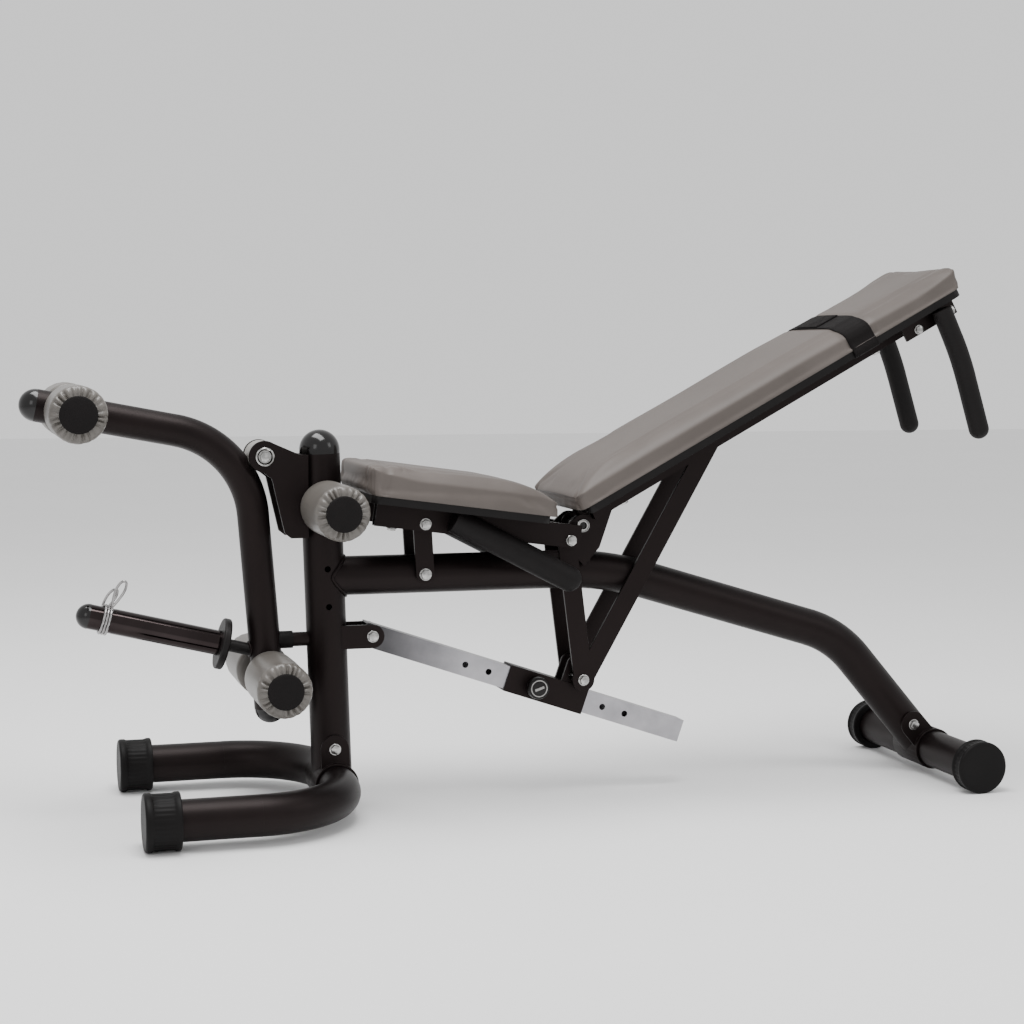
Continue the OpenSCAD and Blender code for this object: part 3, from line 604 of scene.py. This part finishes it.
# %% Lay the strap
UNDER_BOARD = ((-0.088, 0.0281), (-0.110, 0.0281), (-0.1262, 0.0284), (-0.1282, 0.0302),
               (-0.1300, 0.0360))
ACROSS, ALONG = 6, 120


def strap_outline(tree, a):
    """Points round the pad at one place along the backrest, from under the board and back."""
    heart = Vector((a, 0, BACK_UNDER + 0.012))
    points = [Vector((a, y, n)) for y, n in UNDER_BOARD]
    for step in range(61):
        turn = math.radians(186 - 192 * step / 60)
        outward = Vector((0, math.cos(turn), math.sin(turn)))
        hit, normal, _, _ = tree.ray_cast(heart + outward * 0.4, -outward)
        if hit is not None and hit.z > BACK_UNDER + 0.002:
            points.append(hit + normal * 0.0011)
    points += [Vector((a, -y, n)) for y, n in reversed(UNDER_BOARD)]
    return points


evaluated = back_cover.evaluated_get(bpy.context.evaluated_depsgraph_get())
cover_copy = evaluated.to_mesh().copy()
cover_copy.transform(to_back)
probe = bmesh.new()
probe.from_mesh(cover_copy)
cover_tree = BVHTree.FromBMesh(probe)
probe.free()
bpy.data.meshes.remove(cover_copy)


def strap_band(name, y_from, y_to, lift, narrower):
    """A piece of webbing that follows the pad between two places across it."""
    columns = []
    for i in range(ACROSS + 1):
        a = STRAP_AT + (i / ACROSS - 0.5) * (STRAP_WIDTH - narrower)
        line = strap_outline(cover_tree, a)
        lengths = [0.0]
        for p, q in zip(line, line[1:]):
            lengths.append(lengths[-1] + (q - p).length)
        row = []
        for k in range(ALONG + 1):
            want = lengths[-1] * k / ALONG
            j = max(m for m in range(len(lengths)) if lengths[m] <= want + 1e-9)
            j = min(j, len(line) - 2)
            t = (want - lengths[j]) / max(1e-9, lengths[j + 1] - lengths[j])
            point = line[j].lerp(line[j + 1], t)
            if y_from is None or (y_from <= point.y <= y_to and point.z > 0.07):
                edge_lift = 0.0003 * (abs(i - ACROSS / 2) / (ACROSS / 2)) ** 2
                row.append((point + Vector((0, 0, lift + edge_lift)), want,
                            i / ACROSS * STRAP_WIDTH))
        columns.append(row)
    rows = min(len(row) for row in columns)
    bm = bmesh.new()
    grid = [[bm.verts.new(row[k][0]) for k in range(rows)] for row in columns]
    along = bm.loops.layers.uv.new("along")
    for i in range(ACROSS):
        for k in range(rows - 1):
            corners = [(i, k), (i, k + 1), (i + 1, k + 1), (i + 1, k)]
            face = bm.faces.new([grid[c][r] for c, r in corners])
            for loop, (c, r) in zip(face.loops, corners):
                loop[along].uv = (columns[c][r][1], columns[c][r][2])
    bmesh.ops.recalc_face_normals(bm, faces=bm.faces)
    bm.faces.ensure_lookup_table()
    if bm.faces[len(bm.faces) // 2].normal.z < 0:
        bmesh.ops.reverse_faces(bm, faces=bm.faces)
    bmesh.ops.transform(bm, matrix=ON_BACK, verts=bm.verts)
    band = finished(name, bm, webbing, "backrest", sharp=60)
    thick = band.modifiers.new("thickness", "SOLIDIFY")
    thick.thickness = STRAP_THICK
    thick.offset = 0
    return band


strap = strap_band("strap", None, None, 0.0, 0.0)
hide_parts("head_strap")
strap_end = strap_band("strap_end", -0.030, 0.052, 0.0020, 0.003)
print("strap has", len(strap.data.polygons), "faces")

# %% [markdown]
# The loose end of the strap is sewn down with a box of stitches and a cross in it.
# Each stitch is a short fat thread, so one small shape is repeated along the lines.


# %% Stitches on the strap
def thread(bm, start, end, radius):
    """One stitch from start to end, as a slim bead."""
    made = bmesh.ops.create_icosphere(bm, subdivisions=1, radius=1.0)["verts"]
    run = end - start
    turn = run.to_track_quat("Z", "Y").to_matrix().to_4x4()
    size = Matrix.Diagonal((radius, radius, run.length / 2, 1))
    bmesh.ops.transform(bm, matrix=Matrix.Translation((start + end) / 2) @ turn @ size, verts=made)


def on_strap(y, a):
    """A point on top of the strap's loose end."""
    hit = cover_tree.ray_cast(Vector((a, y, 0.3)), Vector((0, 0, -1)))[0]
    return hit + Vector((0, 0, 0.0045))


stitches = bmesh.new()
box_a, box_y = (STRAP_AT - 0.018, STRAP_AT + 0.018), (-0.024, 0.012)
box_corners = [(y, a) for y in box_y for a in box_a]
paths = [(box_corners[i], box_corners[j]) for i, j in ((0, 2), (1, 3), (0, 1), (2, 3), (0, 3), (1, 2))]
for (y0, a0), (y1, a1) in paths:
    count = max(1, round(math.hypot(y1 - y0, a1 - a0) / 0.0032))
    for k in range(count):
        begin, stop = (k + 0.12) / count, (k + 0.88) / count
        thread(stitches, on_strap(y0 + (y1 - y0) * begin, a0 + (a1 - a0) * begin),
               on_strap(y0 + (y1 - y0) * stop, a0 + (a1 - a0) * stop), 0.00035)
bmesh.ops.transform(stitches, matrix=ON_BACK, verts=stitches.verts)
strap_stitches = finished("strap_stitches", stitches, webbing, "backrest")
strap_stitches.data.uv_layers.new(name="along")
print("stitch faces:", len(strap_stitches.data.polygons))

# %% [markdown]
# ### Foam rollers
# Six foam sleeves wear a vinyl sock that is gathered at the outer end and tucked behind a
# black disc. The gathers are what the eye finds first, so they are modelled: the sleeve is
# spun with many steps and its rounded end is pulled in along some twenty uneven folds.

# %% Shape of a roller
ROLLER_R, ROLLER_IN, ROLLER_OUT, AXLE_R, DISC_R = 0.043, 0.036, 0.178, 0.01256, 0.028
ROLLER_LEN = ROLLER_OUT - ROLLER_IN
FOLDS = 23


def roller_profile():
    """Closed outline of the sleeve from the bore round the outside, in (radius, height)."""
    inner, outer = 0.008, 0.012
    side = [(ROLLER_R, inner + (ROLLER_LEN - inner - outer) * i / 12) for i in range(1, 12)]
    lip = [(ROLLER_R - outer - 0.0015 * i, ROLLER_LEN + 0.0002 * i) for i in range(1, 5)]
    outline = [(AXLE_R, 0.0006), (0.020, 0.0), (0.028, 0.0)]
    outline += arc(ROLLER_R - inner, inner, inner, -90, 0)
    outline += side
    outline += arc(ROLLER_R - outer, ROLLER_LEN - outer, outer, 0, 90, 14)
    outline += lip + [(0.0205, ROLLER_LEN - 0.001), (AXLE_R, ROLLER_LEN - 0.002)]
    return outline + [(AXLE_R, ROLLER_LEN / 2), outline[0]]


def gather(verts, phase):
    """Pulls the folds into the outer end of a sleeve that stands on Z."""
    for vert in verts:
        x, y, z = vert.co
        r = math.hypot(x, y)
        if r < AXLE_R + 0.0005:
            continue
        angle = math.atan2(y, x)
        uneven = (angle + 0.05 * math.sin(3 * angle + phase)
                  + 0.035 * math.sin(7 * angle + 2 * phase))
        wave = 0.5 + 0.5 * math.cos(FOLDS * uneven + phase)
        strength = 0.7 + 0.3 * math.sin(5 * angle + 3 * phase)
        valley = wave ** 1.8 * strength
        on_face = ease((z - (ROLLER_LEN - 0.0125)) / 0.008)
        rim = 0.12 + 0.88 * ease((0.0425 - r) / 0.0055)
        inward = 0.0046 * valley * on_face * rim * ease((r - 0.024) / 0.005)
        nip = 0.0007 * valley * ease((z - (ROLLER_LEN - 0.020)) / 0.010)
        dents = 0.0006 * noise.noise(Vector((x * 30 + phase, y * 30, z * 22)))
        new_r = r - nip + dents
        vert.co = (x * new_r / r, y * new_r / r, z - inward)


# %% The six rollers and their discs
ROLLERS = {
    "hold": (-0.330, 0.4926), "upper": (-0.722, 0.646), "lower": (-0.421, 0.224),
}
DISC_PROFILE = ([(0.0, 0.0052), (0.012, 0.0050), (0.022, 0.0044)]
                + arc(DISC_R - 0.002, 0.0018, 0.002, 80, 0, 4) + [(DISC_R, -0.002), (0.0, -0.002)])
for set_number, (place_name, (x, z)) in enumerate(ROLLERS.items()):
    for side, side_name in ((-1, "left"), (1, "right")):
        body = f"{place_name}_{side_name}"
        phase = 1.7 * set_number + 0.9 * side
        sleeve = bmesh.new()
        verts = turned(sleeve, roller_profile(), Matrix.Identity(4), 168)
        gather(verts, phase)
        bmesh.ops.transform(sleeve, verts=sleeve.verts,
                            matrix=across(x, z, side) @ lifted(ROLLER_IN))
        cover = finished(f"{body}_sleeve", sleeve, roller_vinyl, body,
                         (f"{place_name}_roller_{side_name}",), sharp=70)
        disc = bmesh.new()
        turned(disc, DISC_PROFILE, across(x, z, side) @ lifted(ROLLER_OUT), 72)
        finished(f"{body}_disc", disc, disc_cloth, body, (f"{place_name}_end_{side_name}",),
                 sharp=60)
print("rollers made:", 2 * len(ROLLERS))

# %% [markdown]
# ### Rubber feet
# The tube ends sit in moulded rubber cups. A cup has a raised lip at its closed end, a plain
# belt with shallow flutes, and a collar at its mouth. It is turned, and the flutes are
# pressed in afterwards because a lathe can't make them.

# %% Cups
TUBE_R, CUP_R = 0.03175, 0.044


def cup(bm, place, depth, flutes=36):
    """A fluted rubber cup: closed at z = 0, open at z = depth."""
    lip, mouth = 0.16 * depth + 0.003, depth - 0.12 * depth - 0.002
    profile = [(0.0, 0.0008), (0.020, 0.0004), (0.036, 0.0)]
    profile += arc(CUP_R - 0.004, 0.004, 0.004, -80, 0, 4)
    profile += [(CUP_R, lip - 0.001), (CUP_R - 0.0008, lip), (CUP_R - 0.0016, lip + 0.0015)]
    profile += [(CUP_R - 0.0016, lip + (mouth - lip) * t) for t in (0.3, 0.6, 0.9)]
    profile += [(CUP_R - 0.0008, mouth), (CUP_R, mouth + 0.001), (CUP_R, depth - 0.0015)]
    profile += [(CUP_R - 0.0015, depth), (TUBE_R + 0.0011, depth), (TUBE_R + 0.0001, depth - 0.001)]
    profile += [(TUBE_R + 0.0001, 0.0061), (0.0, 0.0061)]
    shell = turned(bm, profile, Matrix.Identity(4), 144)
    for vert in shell:
        r = math.hypot(vert.co.x, vert.co.y)
        if r > CUP_R - 0.0025 and lip + 0.001 < vert.co.z < mouth - 0.001:
            wave = 0.5 + 0.5 * math.cos(flutes * math.atan2(vert.co.y, vert.co.x))
            shrink = 1 - 0.0008 * wave ** 3 / r
            vert.co.x *= shrink
            vert.co.y *= shrink
    bmesh.ops.transform(bm, matrix=place, verts=shell)


front_cups, rear_cups = bmesh.new(), bmesh.new()
for side in (-1, 1):
    into_leg = (Matrix.Translation((-0.640, side * 0.207, CUP_R))
                @ Matrix.Rotation(math.radians(90), 4, "Y"))
    cup(front_cups, into_leg, 0.054)
    into_foot = across(0.754, CUP_R, side) @ lifted(0.211) @ HALF_TURN
    cup(rear_cups, into_foot, 0.030)
finished("front_cups", front_cups, moulded_rubber, "base", ("base_caps",))
finished("rear_cups", rear_cups, moulded_rubber, "base", ("rear_caps",))
print("cups made: 4")

# %% [markdown]
# ### Bolts
# Every visible bolt is a bright hex head on a washer, and a through bolt has a nut at its far
# end. The head is a six-sided prism whose upper edge is bevelled, and the shank goes into the
# steel. One builder serves all of them; only the place, the size and the length change.


# %% Bolt builder
def hex_head(bm, place, size, height):
    """A hex head with chamfered corners, standing on z = 0."""
    made = bmesh.ops.create_cone(bm, cap_ends=True, segments=6, radius1=size / 2,
                                 radius2=size / 2, depth=height)["verts"]
    bmesh.ops.translate(bm, vec=(0, 0, height / 2), verts=made)
    crown = [e for e in {e for v in made for e in v.link_edges}
             if all(v.co.z > height * 0.9 for v in e.verts)]
    shaped = bmesh.ops.bevel(bm, geom=crown, offset=size * 0.05, segments=2, profile=0.5,
                             affect="EDGES", material=-1)
    verts = {v for v in made if v.is_valid} | set(shaped["verts"])
    bmesh.ops.transform(bm, matrix=place, verts=list(verts))


def washer(bm, place, radius, thick, hole):
    turned(bm, [(hole, 0), (radius - 0.0004, 0), (radius, 0.0003), (radius, thick - 0.0004),
                (radius - 0.0005, thick), (hole, thick), (hole, 0)], place, 40)


def shank(bm, place, radius, z0, z1):
    turned(bm, [(0, z0), (radius, z0), (radius, z1 - 0.0008), (radius - 0.0008, z1), (0, z1)],
           place, 32)


WASHER = 0.0014


def bolt(bm, place, diameter, size, height, grip, nut=True):
    """Head on z = 0 looking along +Z, and a grip length of steel below it with a nut."""
    washer(bm, place, size / 2 + 0.0015, WASHER, diameter / 2)
    hex_head(bm, place @ lifted(WASHER), size, height - WASHER)
    shank(bm, place @ HALF_TURN, diameter / 2 - 0.00005, 0.0,
          grip + (height + 0.001 if nut else 0))
    if nut:
        back = place @ lifted(-grip) @ HALF_TURN
        washer(bm, back, size / 2 + 0.0015, WASHER, diameter / 2)
        hex_head(bm, back @ lifted(WASHER), size, height - WASHER)


def through(bm, x, z, half, diameter, size, height, turn=0.0):
    """A bolt right across the bench, head on the near side."""
    place = across(x, z, -1) @ lifted(half) @ Matrix.Rotation(turn, 4, "Z")
    bolt(bm, place, diameter, size, height, 2 * half)


# %% Frame bolts
THROUGH_BOLTS = {
    "base_bolt": (-0.31792, 0.10197, 0.0367, 0.010, 0.016, 0.0065, 0.2),
    "rear_bolt": (0.71615, 0.08795, 0.0367, 0.010, 0.016, 0.0065, 0.7),
    "link_bolt": (-0.169, 0.381, 0.0408, 0.012, 0.0175, 0.007, 0.4),
    "adjuster_bolt": (-0.253, 0.281, 0.026, 0.011, 0.0165, 0.006, 0.1),
    "arm_bolt": (-0.427, 0.574, 0.033, 0.012, 0.018, 0.0075, 0.35),
}
for node, (x, z, half, diameter, size, height, turn) in THROUGH_BOLTS.items():
    bm = bmesh.new()
    through(bm, x, z, half, diameter, size, height, turn)
    if node == "arm_bolt":
        for side in (-1, 1):
            rim = across(x, z, side) @ lifted(half)
            turned(bm, [(0.0118, 0), (0.0148, 0), (0.0150, 0.0004), (0.0148, 0.0030),
                        (0.0138, 0.0036), (0.0126, 0.0034), (0.0118, 0.0026), (0.0118, 0)], rim, 64)
    finished(node + "_zinc", bm, zinc, "base", (node,), sharp=30)

# %% Bolts that ride on the backrest
bm = bmesh.new()
through(bm, 0.1015, 0.196, 0.0405, 0.010, 0.016, 0.007, 0.3)
for side in (-1, 1):
    outward = across(SEAT_HINGE.x, SEAT_HINGE.z, side)
    shank(bm, outward, 0.006, 0.0325, 0.0635)
    washer(bm, outward @ lifted(0.0325), 0.009, 0.002, 0.006)
    head = outward @ lifted(0.0635)
    washer(bm, head, 0.0092, WASHER, 0.0059)
    hex_head(bm, head @ lifted(WASHER), 0.016, 0.0056)
finished("truss_bolts_zinc", bm, zinc, "backrest", ("truss_bolts",), sharp=30)

bm = bmesh.new()
for a in (0.080, 0.600):
    for y in (-0.0425, 0.0425):
        bolt(bm, ON_BACK @ Matrix.Translation((a, y, 0.0014)) @ HALF_TURN, 0.0079, 0.0145, 0.005,
             0.039, nut=False)
handle_bolt = Vector((0.712, 0, 0.7994))
bracket_bolts = [ON_BACK @ Vector((a, 0, n)) for a, n in ((0.660, 0.0104), (0.7275, 0.0107))]
for side in (-1, 1):
    inward = across(handle_bolt.x, handle_bolt.z, -side) @ lifted(-0.1004)
    bolt(bm, inward, 0.0079, 0.014, 0.004, 0.020, nut=False)
    for at in bracket_bolts:
        outer_face = across(at.x, at.z, side) @ lifted(0.1054)
        bolt(bm, outer_face, 0.0079, 0.0135, 0.0055, 0.008, nut=False)
finished("backrest_bolts_zinc", bm, zinc, "backrest", ("back_pad_bolts",),
         sharp=30)

# %% Bolts that ride on the seat
bm = bmesh.new()
for b in (-0.300, -0.090):
    for y in (-0.0525, 0.0525):
        bolt(bm, ON_SEAT @ Matrix.Translation((b, y, -0.012)) @ HALF_TURN, 0.0079, 0.0145, 0.005,
             0.049, nut=False)
link_top = ON_SEAT @ Vector((-0.2473, 0, 0))
through(bm, link_top.x, link_top.z, 0.0625, 0.011, 0.0165, 0.007, 0.15)
grip_top = Vector((-0.134, 0, 0.473))
grip_slope = (Vector((0.060, 0, 0.372)) - grip_top).normalized()
for along in (0.016, 0.052):
    at = grip_top + grip_slope * along
    for side in (-1, 1):
        inward = across(at.x, at.z, -side) @ lifted(-0.0425)
        bolt(bm, inward, 0.0079, 0.014, 0.004, 0.040, nut=False)
finished("seat_bolts_zinc", bm, zinc, "seat", ("seat_bolts",), sharp=30)

# %% [markdown]
# The backrest turns on a short hollow shaft, so its end shows as a bright ring with a dark
# bore, whose shade is painted by a dark gloss filler just inside it. Two turned collars, a hair
# larger than the shaft, finish it on either side.

# %% Pivot shaft
bm = bmesh.new()
shaft_profile = [(0.0062, -0.042), (0.0088, -0.042), (0.0095, -0.0413), (0.0095, 0.0413),
                 (0.0088, 0.042), (0.0062, 0.042), (0.0062, -0.042)]
turned(bm, shaft_profile, across(BACK_HINGE.x, BACK_HINGE.z, -1), 64)
for side in (-1, 1):
    collar_at = across(BACK_HINGE.x, BACK_HINGE.z, side) @ lifted(0.0407)
    turned(bm, [(0.0095, 0), (0.0108, 0), (0.0112, 0.0004), (0.0112, 0.0014), (0.0104, 0.0022),
                (0.0095, 0.0022), (0.0095, 0)], collar_at, 64)
finished("pivot_shaft_zinc", bm, zinc, "base", ("pivot_shaft",), sharp=30)

# painted shade: a dark gloss filler set 3.5 mm inside the hollow shaft stands for the shade in its
# bore
bm = bmesh.new()
shank(bm, across(BACK_HINGE.x, BACK_HINGE.z, -1), 0.0061, -0.0385, 0.0385)
finished("pivot_bore_shade", bm, gloss_plug, "base", sharp=30)

# %% [markdown]
# ### Pull-pin knob
# The pin is pulled out by a round plastic knob: a fluted rim, a raised ring and a bar across
# its face to grip with two fingers. The ring on a real knob carries words; here it is plain.

# %% Knob
PIN_AT = 0.2915
to_knob = ON_BAR @ Matrix.Translation((PIN_AT, 0, 0)) @ Matrix.Rotation(math.radians(90), 4, "X")
bm = bmesh.new()
shank(bm, to_knob, 0.00475, 0.0194, 0.040)
knob_profile = [(0, 0.0324), (0.0165, 0.0324), (0.0178, 0.0330), (0.0185, 0.0345), (0.0185, 0.0385),
                (0.0185, 0.0425), (0.0182, 0.0445), (0.0170, 0.0462), (0.0152, 0.0468),
                (0.0148, 0.0460), (0.0118, 0.0458), (0.0114, 0.0470), (0.0095, 0.0474), (0, 0.0474)]
rim = turned(bm, knob_profile, Matrix.Identity(4), 120)
for vert in rim:
    r = math.hypot(vert.co.x, vert.co.y)
    if r > 0.0175 and 0.034 < vert.co.z < 0.0448:
        wave = 0.5 + 0.5 * math.cos(30 * math.atan2(vert.co.y, vert.co.x))
        vert.co.x *= 1 - 0.0006 * wave ** 2 / r
        vert.co.y *= 1 - 0.0006 * wave ** 2 / r
bmesh.ops.transform(bm, matrix=to_knob, verts=rim)
finished("pin_knob", bm, knob_plastic, "pin", ("pull_pin",), sharp=35)

bm = bmesh.new()
turned(bm, [(0.0124, 0.0457), (0.0142, 0.0459), (0.0142, 0.0464), (0.0124, 0.0463),
            (0.0124, 0.0457)], to_knob, 96)
bar = bmesh.ops.create_cube(bm, size=1)["verts"]
bmesh.ops.scale(bm, vec=(0.0165, 0.0042, 0.0024), verts=bar)
bar_edges = list({e for v in bar for e in v.link_edges})
rounded = bmesh.ops.bevel(bm, geom=bar_edges, offset=0.0009, segments=3, profile=0.5,
                          affect="EDGES", material=-1)
bar = list({v for v in bar if v.is_valid} | set(rounded["verts"]))
bmesh.ops.transform(bm, matrix=to_knob @ lifted(0.0482)
                    @ Matrix.Rotation(math.radians(38), 4, "Z"), verts=bar)
finished("pin_knob_bar", bm, worn_plastic, "pin", sharp=35)

# %% [markdown]
# ### Spring clip
# The clip that keeps the plates on the peg is one length of round spring wire: three turns
# that grip the peg, and at each end a loop to squeeze. Wire is easiest as a curve with a round
# bevel, turned into a mesh when it is done.


# %% Wire along points
def wire(points, radius, closed=False):
    """A round wire through points, as a bmesh."""
    curve = bpy.data.curves.new("wire", "CURVE")
    curve.dimensions = "3D"
    curve.bevel_depth = radius
    curve.bevel_resolution = 4
    curve.use_fill_caps = not closed
    spline = curve.splines.new("POLY")
    spline.points.add(len(points) - 1)
    for point, where in zip(spline.points, points):
        point.co = (*where, 1)
    spline.use_cyclic_u = closed
    holder = bpy.data.objects.new("wire", curve)
    bpy.context.scene.collection.objects.link(holder)
    mesh = bpy.data.meshes.new_from_object(
        holder.evaluated_get(bpy.context.evaluated_depsgraph_get()))
    bm = bmesh.new()
    bm.from_mesh(mesh)
    bpy.data.objects.remove(holder)
    bpy.data.meshes.remove(mesh)
    bpy.data.curves.remove(curve)
    return bm


COLLAR_AT, WIRE_R, COIL_R = 0.250, 0.00225, 0.0225
coil = []
for step in range(3 * 48 + 1):
    turn = math.tau * step / 48 - 0.2
    coil.append(Vector((WIRE_R + 0.0045 * step / 48, COIL_R * math.sin(turn),
                        COIL_R * math.cos(turn))))
clip_coil = wire(coil, WIRE_R)
bmesh.ops.transform(clip_coil, matrix=ON_PEG @ Matrix.Translation((COLLAR_AT, 0, 0)),
                    verts=clip_coil.verts)
finished("spring_coil", clip_coil, bright_wire, "collar", ("spring_collar",),
         sharp=60)


def squeeze_loop(foot, lean):
    """A teardrop of wire that rises from the coil, leans back over the peg and returns."""
    tall, wide = 0.043, 0.0085
    points = []
    for step in range(40):
        turn = math.tau * (step + 0.5) / 40
        height = tall * (1 - math.cos(turn)) / 2
        width = wide * math.sin(turn) * math.sin(turn / 2)
        points.append(foot + Vector((-lean * height + width, 0, height)))
    return points


loops = bmesh.new()
for foot, lean in ((coil[3], 0.22), (coil[-10], 0.34)):
    one = bpy.data.meshes.new("loop")
    loop_wire = wire(squeeze_loop(foot + Vector((0, 0, 0.0005)), lean), 0.0021, closed=True)
    loop_wire.to_mesh(one)
    loop_wire.free()
    loops.from_mesh(one)
    bpy.data.meshes.remove(one)
bmesh.ops.transform(loops, matrix=ON_PEG @ Matrix.Translation((COLLAR_AT, 0, 0)), verts=loops.verts)
finished("spring_loops", loops, bright_wire, "collar", sharp=60)
print("spring clip made")

# %% [markdown]
# ### Weld beads
# Tubes that meet without a bolt are welded, and a bead runs round the joint under the paint.
# The bead follows the line where two tubes cross, and its radius wavers as a hand weld does.


# %% Weld where the beam meets the post
def bead(points, radius, phase=0.0):
    """A closed weld bead with ripples."""
    bm = wire(points, radius, closed=True)
    for vert in bm.verts:
        vert.co += Vector(noise.noise_vector(vert.co * 260 + Vector((phase, 0, 0)))) * radius * 0.22
    return bm


def post_axis_x(z):
    return -0.316 - (z - 0.044) * math.tan(math.radians(1.9))


BEAM_Z, POST_SKIN = 0.3785, 0.0325
joint = []
for step in range(96):
    turn = math.tau * step / 96
    y, z = TUBE_R * math.cos(turn), BEAM_Z + TUBE_R * math.sin(turn)
    joint.append(Vector((post_axis_x(z) + math.sqrt(POST_SKIN ** 2 - y * y) + 0.0008,
                         y * 1.02, BEAM_Z + (z - BEAM_Z) * 1.02)))
finished("beam_weld", bead(joint, 0.0026), powder_coat, "base", sharp=70)

ARM_TOP, ARM_SKIN, PEG_BEAD = Vector((-0.4506, 0, 0.5944)), 0.0256, 0.0104
outward = Vector((-math.cos(PEG_RISE), 0, math.sin(PEG_RISE)))
rise = Vector((math.sin(PEG_RISE), 0, math.cos(PEG_RISE)))
arm_axis = (Vector((-0.4162, 0, 0.170)) - ARM_TOP).normalized()
joint = []
for step in range(64):
    turn = math.tau * step / 64
    start = PEG_ROOT + rise * PEG_BEAD * math.sin(turn) + Vector((0, PEG_BEAD * math.cos(turn), 0))
    offset = start - ARM_TOP
    across_arm = offset - arm_axis * offset.dot(arm_axis)
    step_out = outward - arm_axis * outward.dot(arm_axis)
    a2, b2 = step_out.dot(step_out), 2 * across_arm.dot(step_out)
    c2 = across_arm.dot(across_arm) - ARM_SKIN ** 2
    joint.append(start + outward * ((-b2 + math.sqrt(b2 * b2 - 4 * a2 * c2)) / (2 * a2)))
finished("peg_weld", bead(joint, 0.0022, 5.0), powder_coat, "leg_arm", sharp=70)
print("welds made")

# %% [markdown]
# ## Floor and light
# The bench stands on a plain pale floor. Three soft lamps give the tubes long highlights, a
# strong one above and two weak ones in front and beside, and the pale sky fills the shadows.

# %% Floor
bm = bmesh.new()
bmesh.ops.create_grid(bm, x_segments=2, y_segments=2, size=14)
floor_mesh = bpy.data.meshes.new("floor")
bm.to_mesh(floor_mesh)
bm.free()
floor = bpy.data.objects.new("floor", floor_mesh)
bpy.context.scene.collection.objects.link(floor)
floor_mesh.materials.append(finish_of("pale_floor", (0.86, 0.86, 0.86), (0.88, 0.88, 0.88),
                                      (0.7, 0.8), blotch=1, grain=40, grain_depth=0.02))

# %% Sky and lamps
world = bpy.data.worlds.new("pale_sky")
bpy.context.scene.world = world
world.use_nodes = True
set_inputs(world.node_tree.nodes["Background"], {"Color": (1, 1, 1, 1), "Strength": 1.0})


def soft_lamp(name, where, target, width, height, power):
    lamp = bpy.data.lights.new(name, "AREA")
    lamp.shape = "RECTANGLE"
    lamp.size, lamp.size_y, lamp.energy = width, height, power
    holder = bpy.data.objects.new(name, lamp)
    bpy.context.scene.collection.objects.link(holder)
    look = (Vector(target) - Vector(where)).to_track_quat("-Z", "Y").to_matrix().to_4x4()
    holder.matrix_world = Matrix.Translation(where) @ look


soft_lamp("lamp_above", (-0.5, -0.3, 3.1), (0, 0, 0.4), 2.6, 1.2, 120)
soft_lamp("lamp_front", (-2.6, -3.0, 1.9), (-0.1, 0, 0.45), 1.2, 1.6, 14)
soft_lamp("lamp_side", (2.6, -2.2, 2.2), (0.3, 0, 0.5), 1.0, 1.4, 14)
